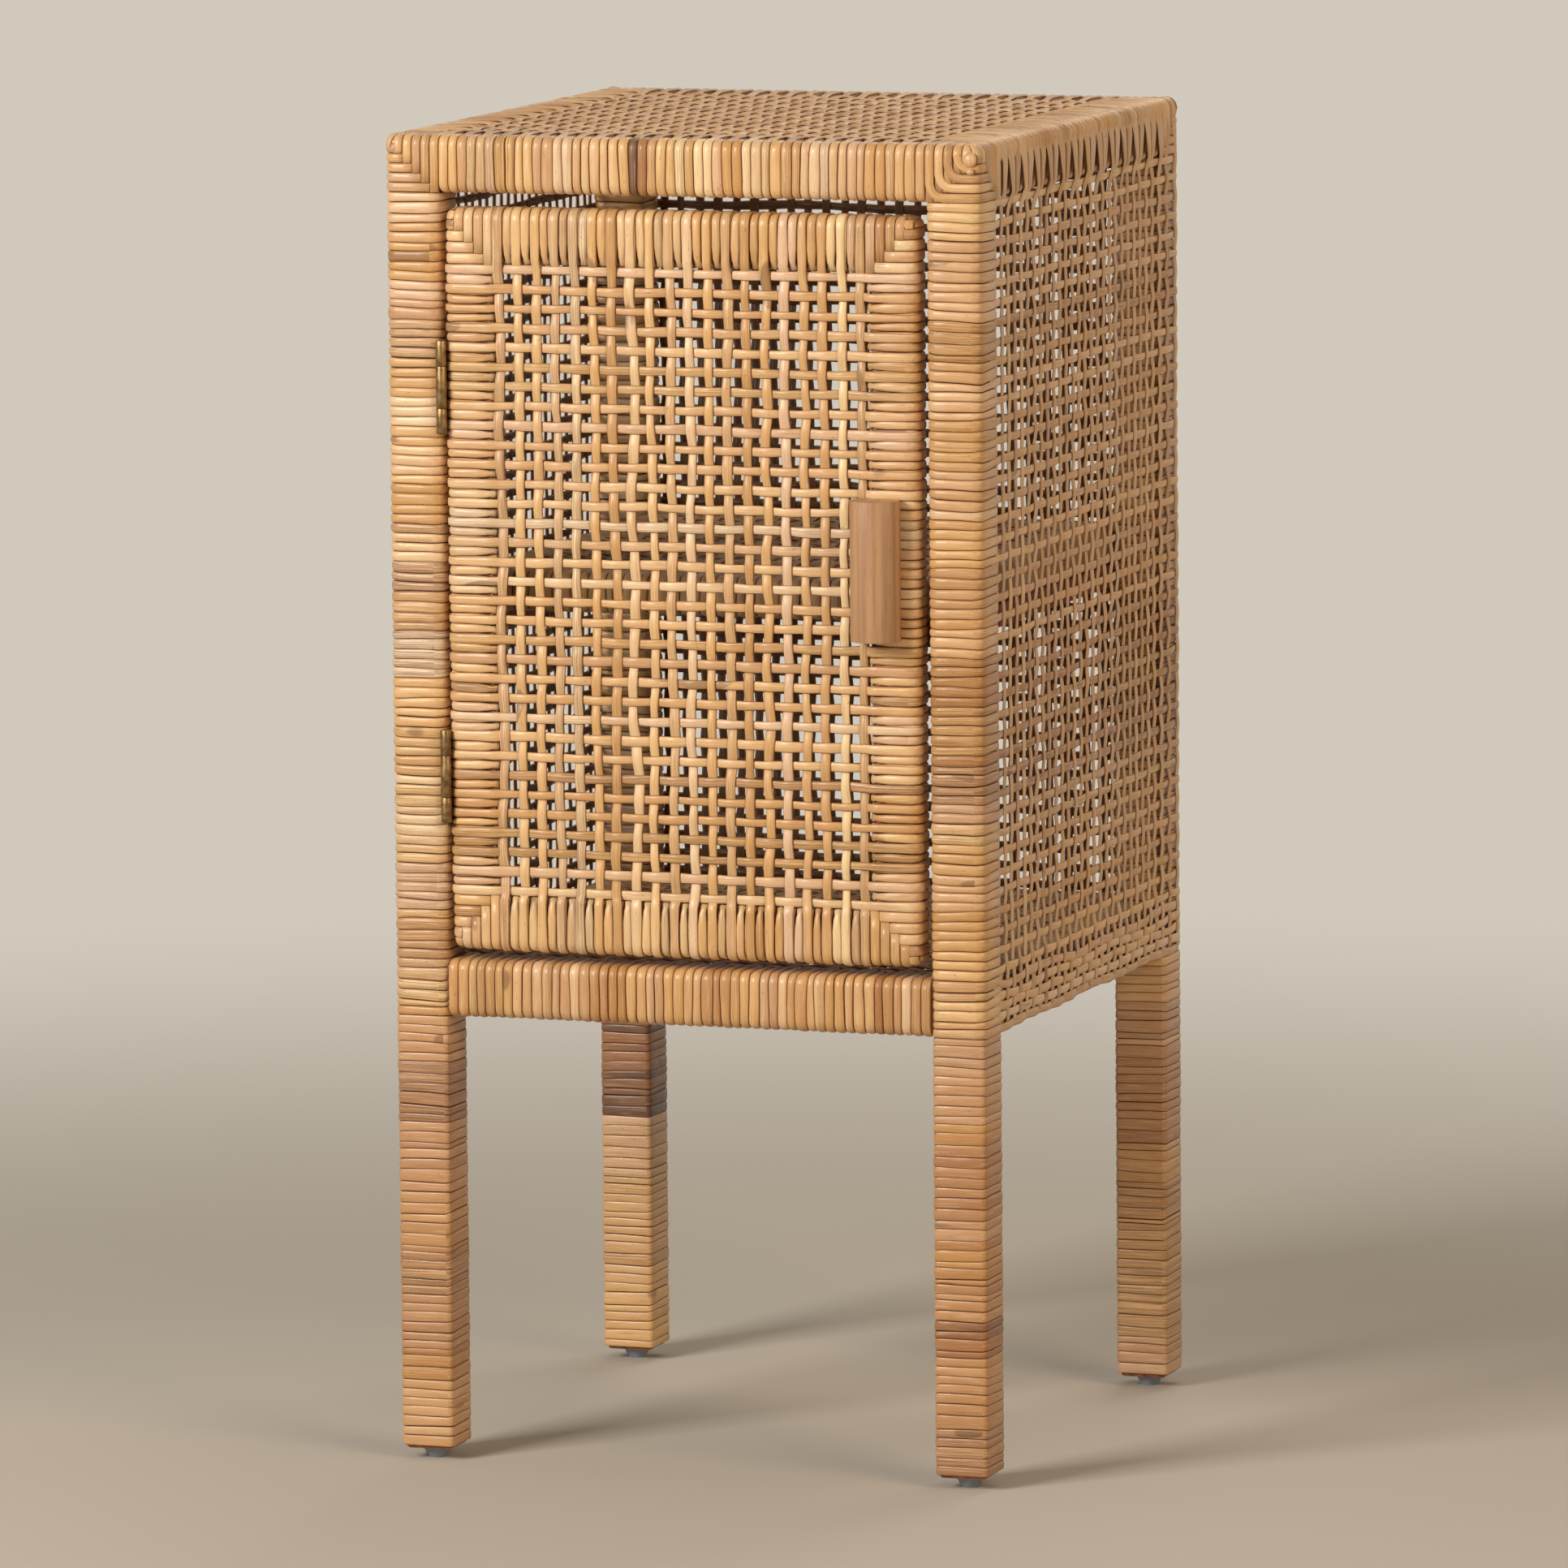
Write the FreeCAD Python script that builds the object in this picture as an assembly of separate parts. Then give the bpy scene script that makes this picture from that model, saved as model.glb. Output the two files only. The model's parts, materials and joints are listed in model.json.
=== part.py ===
import FreeCAD, Part
import math
from FreeCAD import Vector

# A storage side table: a timber frame on four legs, wound all over with flat
# cane, with open plain-woven cane panels, a woven shelf and one hinged door.
# Millimetres.  +Z is up, the door faces -Y, and the origin is on the floor
# under the middle of everything, the pull included.

# Carcass, over the cane
WIDTH = 336.0
DEPTH = 348.0
HEIGHT = 720.0
UNDERSIDE = 244.0            # floor to the underside of the bottom rails
TIMBER = 25.0                # square stock of posts and rails
LEG_END_CHAMFER = 1.0        # round the foot of each post
BODY_CANE = 3.0              # cane built up on the carcass posts and rails
LEG_CANE = 2.3               # one layer of cane on the legs
CANE_CORNER = 2.0            # chamfer where the cane turns a corner
BARE_LEG_END = 2.0           # timber left showing under the leg's cane

# Stub tenons on the rails; those of the front and back rails lie higher in
# the posts than those of the side rails, so that they pass each other
TENON_LENGTH = 12.0
TENON_WIDTH = 12.0
TENON_HEIGHT = 8.0
TENON_STAGGER = 5.0

# Woven panels: one strand to and fro as warps, one behind it as wefts
STRAND_WIDTH = 5.2
STRAND_THICKNESS = 2.2
WARP_PITCH = 10.8
WEFT_PITCH = 10.5
PANEL_INSET = 1.0            # from the frame's face back to the weave

# Flat sides that a screw, nail or peg is drawn with
SHANK_SIDES = 6

# Nail-on glides
GLIDE_HEIGHT = 6.0
GLIDE_TOP_DIAMETER = 16.0
GLIDE_FOOT_DIAMETER = 9.0
NAIL_DIAMETER = 2.0
NAIL_LENGTH = 22.0
NAIL_COVER = 2.0             # plastic below the nail

# Shelf and its bearers
SHELF_TOP = 484.0
SHELF_THICKNESS = 22.0       # over the cane
SHELF_MEMBER_WIDTH = 22.0    # over the cane
SHELF_CANE = 3.0
SHELF_SIDE_CLEARANCE = 1.0
SHELF_BACK_CLEARANCE = 2.0
SHELF_DOOR_CLEARANCE = 4.0
BEARER_WIDTH = 15.0
BEARER_HEIGHT = 12.0

# Door, over the cane
DOOR_THICKNESS = 22.0
DOOR_CANE = 3.0
STILE_WIDTH = 28.0
DOOR_RAIL_HEIGHT = 30.0
DOOR_GAP_HINGE = 2.4
DOOR_GAP_PULL = 5.6
DOOR_GAP_TOP = 8.0
DOOR_GAP_BOTTOM = 6.0

# Butt hinges
HINGE_LENGTH = 50.0
HINGE_LOWER = 375.0          # heights of the hinges' middles
HINGE_UPPER = 585.0
BARREL_DIAMETER = 5.8
BARREL_PROUD = 2.0           # pin axis in front of the carcass face
PIN_DIAMETER = 2.6
PIN_CLEARANCE = 0.05         # radial, in the turning knuckle
PIN_END = 0.6                # pin past each end of the barrel
LEAF_WIDTH = 18.0            # from the pin axis
LEAF_THICKNESS = 1.0
MIDDLE_KNUCKLE = 0.46        # share of the hinge's length
KNUCKLE_GAP = 0.3
LEAF_CUT_BACK = 0.5          # leaf kept off the other leaf's knuckles
LEAF_SCREW_SPREAD = 30.0
LEAF_SCREW_MARGIN = 6.5      # screw axis from the leaf's back edge
LEAF_SCREW_DIAMETER = 2.4
LEAF_SCREW_HEAD = 5.0
LEAF_SCREW_LENGTH = 12.0

# Pull: a dowel with one side planed flat
PULL_DIAMETER = 27.0
PULL_DEPTH = 20.0
PULL_LENGTH = 75.0
PULL_EASE = 1.0
PULL_HEIGHT = 494.0          # height of its middle
PULL_FROM_EDGE = 21.0        # door's closing edge to the pull's middle
PULL_SCREW_SPREAD = 40.0
PULL_SCREW_DIAMETER = 3.5
PULL_SCREW_HEAD = 7.0
PULL_SCREW_LENGTH = 34.0

# Magnetic catch under the front of the shelf, and its strike on the door
CATCH_WIDTH = 16.0
CATCH_HEIGHT = 12.0
CATCH_DEPTH = 14.0
CATCH_TONGUE_DEPTH = 13.0
CATCH_TONGUE_THICKNESS = 3.0
CATCH_FROM_STILE = 1.0       # catch's edge past the stile's inner edge
CATCH_GAP = 0.3              # air left between magnet and strike
MAGNET_WIDTH = 12.0
MAGNET_HEIGHT = 6.0
MAGNET_DEPTH = 8.0
CATCH_SCREW_DIAMETER = 3.0
CATCH_SCREW_HEAD = 5.6
CATCH_SCREW_LENGTH = 14.0
STRIKE_MARGIN = 1.0          # strike's edge inside the catch's outline
STRIKE_HEIGHT = 20.0
STRIKE_THICKNESS = 1.0
STRIKE_PIN_DIAMETER = 2.0
STRIKE_PIN_LENGTH = 8.0

# Places worked out from the sizes above
POST = TIMBER + 2 * BODY_CANE
FRONT = (PULL_DEPTH - DEPTH) / 2
BACK = FRONT + DEPTH
EDGE = {
    "left": (-WIDTH / 2, -WIDTH / 2 + POST),
    "right": (WIDTH / 2 - POST, WIDTH / 2),
    "front": (FRONT, FRONT + POST),
    "back": (BACK - POST, BACK),
    "bottom": (UNDERSIDE, UNDERSIDE + POST),
    "top": (HEIGHT - POST, HEIGHT),
}
INSIDE_X = (EDGE["left"][1], EDGE["right"][0])
INSIDE_Y = (EDGE["front"][1], EDGE["back"][0])
INSIDE_Z = (EDGE["bottom"][1], EDGE["top"][0])
DOOR_X = (INSIDE_X[0] + DOOR_GAP_HINGE, INSIDE_X[1] - DOOR_GAP_PULL)
DOOR_Y = (FRONT, FRONT + DOOR_THICKNESS)
DOOR_Z = (INSIDE_Z[0] + DOOR_GAP_BOTTOM, INSIDE_Z[1] - DOOR_GAP_TOP)
AXIS = {"x": Vector(1, 0, 0), "y": Vector(0, 1, 0), "z": Vector(0, 0, 1)}


def middle(pair):
    return (pair[0] + pair[1]) / 2


def grown(pair, amount):
    """The (low, high) pair made longer at both ends."""
    return (pair[0] - amount, pair[1] + amount)


def block(x, y, z):
    """A box between (low, high) pairs along X, Y and Z."""
    return Part.makeBox(x[1] - x[0], y[1] - y[0], z[1] - z[0], Vector(x[0], y[0], z[0]))


def bar(x, y, z, along, chamfer):
    """A box with the four edges along one axis chamfered."""
    box = block(x, y, z)
    long_edges = []
    for edge in box.Edges:
        direction = edge.tangentAt(edge.FirstParameter)
        if abs(direction.dot(AXIS[along])) > math.cos(math.radians(1)):
            long_edges.append(edge)
    return box.makeChamfer(chamfer, long_edges)


def rod(start, direction, length, diameter):
    return Part.makeCylinder(diameter / 2, length, start, direction)


def ring(centre, direction, diameter):
    """The corners of a regular polygon square to one of the axes."""
    across = Vector(direction.y, direction.z, direction.x)
    corners = []
    for side in range(SHANK_SIDES):
        turn = 2 * math.pi * side / SHANK_SIDES
        spoke = across * math.cos(turn) + direction.cross(across) * math.sin(turn)
        corners.append(centre + spoke * (diameter / 2))
    return corners


def flat(corners):
    return Part.Face(Part.makePolygon(corners + corners[:1]))


def peg(start, direction, length, diameter):
    """A plain shank, drawn with flat sides."""
    return flat(ring(start, direction, diameter)).extrude(direction * length)


def screw(head_centre, direction, length, diameter, head):
    """A countersunk wood screw; its head's flat is at head_centre."""
    sink = (head - diameter) / 2
    neck = head_centre + direction * sink
    rim, waist = ring(head_centre, direction, head), ring(neck, direction, diameter)
    sides = [flat([rim[i - 1], rim[i], waist[i], waist[i - 1]]) for i in range(SHANK_SIDES)]
    cone = Part.Solid(Part.Shell([flat(rim), flat(waist)] + sides))
    return cone.fuse(peg(neck, direction, length - sink, diameter)).removeSplitter()


def without(shape, cutters):
    """The shape less every cutter that reaches it."""
    near = [c for c in cutters if shape.BoundBox.intersect(c.BoundBox)]
    return shape.cut(near) if near else shape


def save(name, *solids):
    Part.makeCompound(list(solids)).exportStep(f"parts/{name}.step")


def winding(core, x, y, z, along):
    """The sleeve of cane wound round a timber core."""
    return bar(x, y, z, along, CANE_CORNER).cut(core)


def tenoned(x, y, z, along, lift=0.0):
    """A rail's timber with a stub tenon at each end, raised by lift from its middle."""
    sides = {"x": (y, z), "y": (x, z)}[along][0]
    width = (middle(sides) - TENON_WIDTH / 2, middle(sides) + TENON_WIDTH / 2)
    height = (middle(z) + lift - TENON_HEIGHT / 2, middle(z) + lift + TENON_HEIGHT / 2)
    if along == "x":
        tongue = block(grown(x, TENON_LENGTH), width, height)
    else:
        tongue = block(width, grown(y, TENON_LENGTH), height)
    return block(x, y, z).fuse(tongue).removeSplitter()


def zigzag(across, along, pitch):
    """One flat strand laid to and fro over a rectangle, as an outline in (across, along)."""
    half = STRAND_WIDTH / 2
    runs = max(2, round((across[1] - across[0] - STRAND_WIDTH) / pitch) + 1)
    step = (across[1] - across[0] - STRAND_WIDTH) / (runs - 1)
    centres = []
    for run in range(runs):
        ends = (along[0] + half, along[1] - half)
        for end in (ends if run % 2 == 0 else ends[::-1]):
            centres.append((across[0] + half + run * step, end))
    centres[0] = (centres[0][0], along[0])
    last = along[1] if runs % 2 else along[0]
    centres[-1] = (centres[-1][0], last)
    outline = {1: [], -1: []}
    for i, (u, v) in enumerate(centres):
        normals = []
        for a, b in ((i - 1, i), (i, i + 1)):
            if a >= 0 and b < len(centres):
                du, dv = centres[b][0] - centres[a][0], centres[b][1] - centres[a][1]
                normals.append((-math.copysign(dv != 0, dv), math.copysign(du != 0, du)))
        for side in outline:
            outline[side].append((u + side * half * sum(n[0] for n in normals),
                                  v + side * half * sum(n[1] for n in normals)))
    return outline[1] + outline[-1][::-1]


def woven(place, front, warp_span, weft_span):
    """A plain panel: upright warps in front of cross-lying wefts.

    place(u, v, w) puts a panel point in space: warps are spaced along u over
    warp_span, wefts along v over weft_span, and w is the depth behind the
    frame's face.
    """
    warps = zigzag(warp_span, weft_span, WARP_PITCH)
    wefts = [(u, v) for v, u in zigzag(weft_span, warp_span, WEFT_PITCH)]
    solids = []
    for level, outline in enumerate((warps, wefts)):
        depth = front + level * STRAND_THICKNESS
        corners = [place(u, v, depth) for u, v in outline]
        through = place(0, 0, depth + STRAND_THICKNESS) - place(0, 0, depth)
        solids.append(flat(corners).extrude(through))
    return solids


# Hinges.  The two knuckles at the ends belong to the frame's leaf and grip the
# pin; the middle one belongs to the door's leaf and turns on it.
PIN_X = INSIDE_X[0] + DOOR_GAP_HINGE / 2
PIN_Y = FRONT - BARREL_PROUD
LEAF_BACK = PIN_Y + LEAF_WIDTH


def knuckle(z, bore):
    barrel = rod(Vector(PIN_X, PIN_Y, z[0]), AXIS["z"], z[1] - z[0], BARREL_DIAMETER)
    return barrel.cut(rod(Vector(PIN_X, PIN_Y, z[0]), AXIS["z"], z[1] - z[0], bore))


def leaf_screws(height, face, direction):
    screws = []
    for step in (-1, 1):
        head = Vector(face, LEAF_BACK - LEAF_SCREW_MARGIN, height + step * LEAF_SCREW_SPREAD / 2)
        screws.append(screw(head, direction, LEAF_SCREW_LENGTH, LEAF_SCREW_DIAMETER, LEAF_SCREW_HEAD))
    return screws


def hinge(height):
    """Frame leaf, door leaf, pin, frame screws and door screws at one height."""
    ends = (height - HINGE_LENGTH / 2, height + HINGE_LENGTH / 2)
    core = HINGE_LENGTH * MIDDLE_KNUCKLE / 2
    own = {
        "frame": [(ends[0], height - core), (height + core, ends[1])],
        "door": [(height - core + KNUCKLE_GAP, height + core - KNUCKLE_GAP)],
    }
    faces = {"frame": (INSIDE_X[0], INSIDE_X[0] + LEAF_THICKNESS),
             "door": (DOOR_X[0] - LEAF_THICKNESS, DOOR_X[0])}
    bores = {"frame": PIN_DIAMETER, "door": PIN_DIAMETER + 2 * PIN_CLEARANCE}
    clear_of_barrel = PIN_Y + BARREL_DIAMETER / 2 + LEAF_CUT_BACK
    leaves = {}
    for side in ("frame", "door"):
        plate = block(faces[side], (clear_of_barrel, LEAF_BACK), ends)
        bore = rod(Vector(PIN_X, PIN_Y, ends[0]), AXIS["z"], HINGE_LENGTH, bores[side])
        webs = [block(faces[side], (PIN_Y, clear_of_barrel), z) for z in own[side]]
        rings = [knuckle(z, bores[side]) for z in own[side]]
        leaves[side] = plate.fuse(webs + rings).cut(bore).removeSplitter()
    pin = rod(Vector(PIN_X, PIN_Y, ends[0] - PIN_END), AXIS["z"],
              HINGE_LENGTH + 2 * PIN_END, PIN_DIAMETER)
    frame_screws = leaf_screws(height, faces["frame"][1], -AXIS["x"])
    door_screws = leaf_screws(height, faces["door"][0], AXIS["x"])
    return (leaves["frame"].cut(Part.makeCompound(frame_screws)),
            leaves["door"].cut(Part.makeCompound(door_screws)),
            pin, frame_screws, door_screws)


hinges = {"lower": hinge(HINGE_LOWER), "upper": hinge(HINGE_UPPER)}
frame_screws = hinges["lower"][3] + hinges["upper"][3]
door_screws = hinges["lower"][4] + hinges["upper"][4]
for name, (frame_leaf, door_leaf, pin, _, _) in hinges.items():
    save(f"hinge_{name}_frame_leaf", frame_leaf)
    save(f"hinge_{name}_door_leaf", door_leaf)
save("hinge_pins", *[parts[2] for parts in hinges.values()])
save("hinge_frame_screws", *frame_screws)
save("hinge_door_screws", *door_screws)


# Glides: a tapered plastic button on each nail, driven up into the leg
def glide(x, y):
    button = Part.makeCone(GLIDE_FOOT_DIAMETER / 2, GLIDE_TOP_DIAMETER / 2, GLIDE_HEIGHT, Vector(x, y, 0))
    nail = peg(Vector(x, y, NAIL_COVER), AXIS["z"], NAIL_LENGTH, NAIL_DIAMETER)
    return button.cut(nail), nail


# Timber posts.  Each runs from its glide to the cap of cane on top, and is one
# piece from leg to carcass.
CORNERS = [(side, face) for face in ("front", "back") for side in ("left", "right")]
LEVELS = ("bottom", "top")
TIMBER_Z = (GLIDE_HEIGHT, HEIGHT - BODY_CANE)


def timber(place):
    """The stock inside a (low, high) pair measured over the carcass cane."""
    return grown(EDGE[place], -BODY_CANE)


posts = {}
glides = []
nails = []
for side, face in CORNERS:
    stock = block(timber(side), timber(face), TIMBER_Z)
    foot_edges = [edge for edge in stock.Edges if edge.BoundBox.ZMax < middle(TIMBER_Z)]
    posts[side, face] = stock.makeChamfer(LEG_END_CHAMFER, foot_edges)
    button, nail = glide(middle(EDGE[side]), middle(EDGE[face]))
    glides.append(button)
    nails.append(nail)
save("glides", *glides)
save("glide_nails", *nails)

# Timber rails: four round the top and four round the bottom, tenoned into
# the posts, each with its own winding of cane.
rails = {}
rail_windings = {}
for level in LEVELS:
    for face in ("front", "back"):
        length = grown(INSIDE_X, BODY_CANE)
        rail = tenoned(length, timber(face), timber(level), "x", TENON_STAGGER)
        rails[level, face] = rail
        rail_windings[level, face] = winding(rail, INSIDE_X, EDGE[face], EDGE[level], "x")
    for side in ("left", "right"):
        length = grown(INSIDE_Y, BODY_CANE)
        rail = tenoned(timber(side), length, timber(level), "y", -TENON_STAGGER)
        rails[level, side] = rail
        rail_windings[level, side] = winding(rail, EDGE[side], INSIDE_Y, EDGE[level], "y")
for (level, place), rail in rails.items():
    save(f"rail_{level}_{place}", rail)
    save(f"rail_{level}_{place}_winding", rail_windings[level, place])

# Cane on the posts: one winding on the leg, and a thicker one with a closed
# top on the carcass, which the rails pass through.
for side, face in CORNERS:
    post = posts[side, face]
    leg_x, leg_y = (grown(timber(place), LEG_CANE) for place in (side, face))
    leg_z = (GLIDE_HEIGHT + BARE_LEG_END, UNDERSIDE)
    leg = winding(post, leg_x, leg_y, leg_z, "z")
    body = winding(post, EDGE[side], EDGE[face], (UNDERSIDE, HEIGHT), "z")
    body = without(body, list(rails.values()) + frame_screws)
    save(f"post_{face}_{side}", without(post, list(rails.values()) + nails + frame_screws))
    save(f"post_{face}_{side}_winding", leg, body)

# Woven panels in the frame: both sides, the back, the top and the floor
PANEL_DEPTH = PANEL_INSET + 2 * STRAND_THICKNESS
panels = {
    "side_panel_left": woven(lambda u, v, w: Vector(-WIDTH / 2 + w, u, v), PANEL_INSET, INSIDE_Y, INSIDE_Z),
    "side_panel_right": woven(lambda u, v, w: Vector(WIDTH / 2 - w, u, v), PANEL_INSET, INSIDE_Y, INSIDE_Z),
    "back_panel": woven(lambda u, v, w: Vector(u, BACK - w, v), PANEL_INSET, INSIDE_X, INSIDE_Z),
    "top_panel": woven(lambda u, v, w: Vector(u, v, HEIGHT - w), PANEL_INSET, INSIDE_X, INSIDE_Y),
    "floor_panel": woven(lambda u, v, w: Vector(u, v, INSIDE_Z[0] - w), PANEL_INSET, INSIDE_X, INSIDE_Y),
}
for name, strands in panels.items():
    save(name, *strands)

# Shelf: a small frame, wound and woven like the carcass, lying on two
# bearers fixed between the posts.
SHELF_X = grown(INSIDE_X, -SHELF_SIDE_CLEARANCE)
SHELF_Y = (FRONT + DOOR_THICKNESS + SHELF_DOOR_CLEARANCE, BACK - PANEL_DEPTH - SHELF_BACK_CLEARANCE)
SHELF_Z = (SHELF_TOP - SHELF_THICKNESS, SHELF_TOP)
shelf_core_z = grown(SHELF_Z, -SHELF_CANE)
SHELF_INSIDE_X = grown(SHELF_X, -SHELF_MEMBER_WIDTH)
SHELF_INSIDE_Y = grown(SHELF_Y, -SHELF_MEMBER_WIDTH)
shelf_edges = {
    "front": (SHELF_Y[0], SHELF_INSIDE_Y[0]),
    "back": (SHELF_INSIDE_Y[1], SHELF_Y[1]),
    "left": (SHELF_X[0], SHELF_INSIDE_X[0]),
    "right": (SHELF_INSIDE_X[1], SHELF_X[1]),
}
shelf_timbers = []
shelf_windings = []
for face in ("front", "back"):
    core_x = grown(SHELF_X, -SHELF_CANE)
    core_y = grown(shelf_edges[face], -SHELF_CANE)
    shelf_timbers.append(block(core_x, core_y, shelf_core_z))
for side in ("left", "right"):
    core_x = grown(shelf_edges[side], -SHELF_CANE)
    core_y = grown(SHELF_INSIDE_Y, SHELF_CANE)
    shelf_timbers.append(block(core_x, core_y, shelf_core_z))
for face in ("front", "back"):
    shelf_windings.append(bar(SHELF_X, shelf_edges[face], SHELF_Z, "x", CANE_CORNER).cut(shelf_timbers))
for side in ("left", "right"):
    outer = bar(shelf_edges[side], SHELF_INSIDE_Y, SHELF_Z, "y", CANE_CORNER)
    shelf_windings.append(outer.cut(shelf_timbers))

# Catch: a moulded body with a magnet in its nose, screwed up into the shelf's
# front timber, just inside the door's closing stile.
DOOR_BACK = DOOR_Y[1]
CATCH_Y = (DOOR_BACK + STRIKE_THICKNESS + CATCH_GAP,
           DOOR_BACK + STRIKE_THICKNESS + CATCH_GAP + CATCH_DEPTH)
CATCH_X = (DOOR_X[1] - STILE_WIDTH + CATCH_FROM_STILE,
           DOOR_X[1] - STILE_WIDTH + CATCH_FROM_STILE + CATCH_WIDTH)
CATCH_Z = (SHELF_Z[0] - CATCH_HEIGHT, SHELF_Z[0])
magnet_x = (middle(CATCH_X) - MAGNET_WIDTH / 2, middle(CATCH_X) + MAGNET_WIDTH / 2)
magnet_z = (middle(CATCH_Z) - MAGNET_HEIGHT / 2, middle(CATCH_Z) + MAGNET_HEIGHT / 2)
magnet = block(magnet_x, (CATCH_Y[0], CATCH_Y[0] + MAGNET_DEPTH), magnet_z)
catch_body = block(CATCH_X, CATCH_Y, CATCH_Z)
tongue_z = (SHELF_Z[0] - CATCH_TONGUE_THICKNESS, SHELF_Z[0])
tongue = block(CATCH_X, (CATCH_Y[1], CATCH_Y[1] + CATCH_TONGUE_DEPTH), tongue_z)
catch_screw = screw(Vector(middle(CATCH_X), CATCH_Y[1] + CATCH_SCREW_HEAD / 2, tongue_z[0]),
                    AXIS["z"], CATCH_SCREW_LENGTH, CATCH_SCREW_DIAMETER, CATCH_SCREW_HEAD)
save("catch_body", catch_body.fuse(tongue).removeSplitter().cut([magnet, catch_screw]))
save("catch_magnet", magnet)
save("catch_screw", catch_screw)
save("shelf_frame", *[without(core, [catch_screw]) for core in shelf_timbers])
save("shelf_windings", *[without(cane, [catch_screw]) for cane in shelf_windings])
save("shelf_panel", *woven(lambda u, v, w: Vector(u, v, SHELF_TOP - w),
                           PANEL_INSET, SHELF_INSIDE_X, SHELF_INSIDE_Y))
bearer_z = (SHELF_Z[0] - BEARER_HEIGHT, SHELF_Z[0])
bearer_y = (FRONT + DOOR_THICKNESS + SHELF_DOOR_CLEARANCE, BACK - PANEL_DEPTH)
save("shelf_bearers",
     block((INSIDE_X[0], INSIDE_X[0] + BEARER_WIDTH), bearer_y, bearer_z),
     block((INSIDE_X[1] - BEARER_WIDTH, INSIDE_X[1]), bearer_y, bearer_z))

# Pull, with two screws through the closing stile from the back
PULL_X = DOOR_X[1] - PULL_FROM_EDGE
pull_z = (PULL_HEIGHT - PULL_LENGTH / 2, PULL_HEIGHT + PULL_LENGTH / 2)
pull_axis = FRONT - PULL_DEPTH + PULL_DIAMETER / 2
pull = rod(Vector(PULL_X, pull_axis, pull_z[0]), AXIS["z"], PULL_LENGTH, PULL_DIAMETER)
pull = pull.common(block((PULL_X - PULL_DIAMETER, PULL_X + PULL_DIAMETER),
                         (FRONT - PULL_DEPTH, FRONT), pull_z))
end_rims = [edge for edge in pull.Edges
            if edge.Curve.TypeId == "Part::GeomCircle"]
pull = pull.makeChamfer(PULL_EASE, end_rims)
pull_screws = []
for step in (-1, 1):
    head = Vector(PULL_X, DOOR_BACK, PULL_HEIGHT + step * PULL_SCREW_SPREAD / 2)
    pull_screws.append(screw(head, -AXIS["y"], PULL_SCREW_LENGTH, PULL_SCREW_DIAMETER, PULL_SCREW_HEAD))
save("pull", pull.cut(pull_screws))
save("pull_screws", *pull_screws)

# Strike plate: a steel plate with a pin pressed into the stile's back
strike_x = grown(CATCH_X, -STRIKE_MARGIN)
strike_z = (middle(CATCH_Z) - STRIKE_HEIGHT / 2, middle(CATCH_Z) + STRIKE_HEIGHT / 2)
strike_plate = block(strike_x, (DOOR_BACK, DOOR_BACK + STRIKE_THICKNESS), strike_z)
strike_pin = peg(Vector(middle(strike_x), DOOR_BACK, middle(strike_z)), -AXIS["y"],
                 STRIKE_PIN_LENGTH, STRIKE_PIN_DIAMETER)
strike = strike_plate.fuse(strike_pin).removeSplitter()
save("strike_plate", strike)

# Door: two stiles from top to bottom, two rails tenoned between them, all
# wound with cane, and a woven panel in the middle.
DOOR_INSIDE_X = grown(DOOR_X, -STILE_WIDTH)
DOOR_INSIDE_Z = grown(DOOR_Z, -DOOR_RAIL_HEIGHT)
door_core_y = grown(DOOR_Y, -DOOR_CANE)
stile_x = {"hinge": (DOOR_X[0], DOOR_INSIDE_X[0]), "pull": (DOOR_INSIDE_X[1], DOOR_X[1])}
door_rail_z = {"bottom": (DOOR_Z[0], DOOR_INSIDE_Z[0]), "top": (DOOR_INSIDE_Z[1], DOOR_Z[1])}
door_rails = {}
for level, span in door_rail_z.items():
    length = grown(DOOR_INSIDE_X, DOOR_CANE)
    rail = tenoned(length, door_core_y, grown(span, -DOOR_CANE), "x")
    door_rails[level] = rail
    save(f"door_rail_{level}", rail)
    save(f"door_rail_{level}_winding", winding(rail, DOOR_INSIDE_X, DOOR_Y, span, "x"))
door_joints = list(door_rails.values()) + door_screws + pull_screws + [strike_pin]
for place, span in stile_x.items():
    stile = block(grown(span, -DOOR_CANE), door_core_y, grown(DOOR_Z, -DOOR_CANE))
    cane = winding(stile, span, DOOR_Y, DOOR_Z, "z")
    save(f"door_stile_{place}", without(stile, door_joints))
    save(f"door_stile_{place}_winding", without(cane, door_joints))
save("door_panel", *woven(lambda u, v, w: Vector(u, FRONT + w, v),
                          PANEL_INSET, DOOR_INSIDE_X, DOOR_INSIDE_Z))
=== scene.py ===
import json
import math

import bpy
import numpy as np
from mathutils import Matrix, Vector


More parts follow.
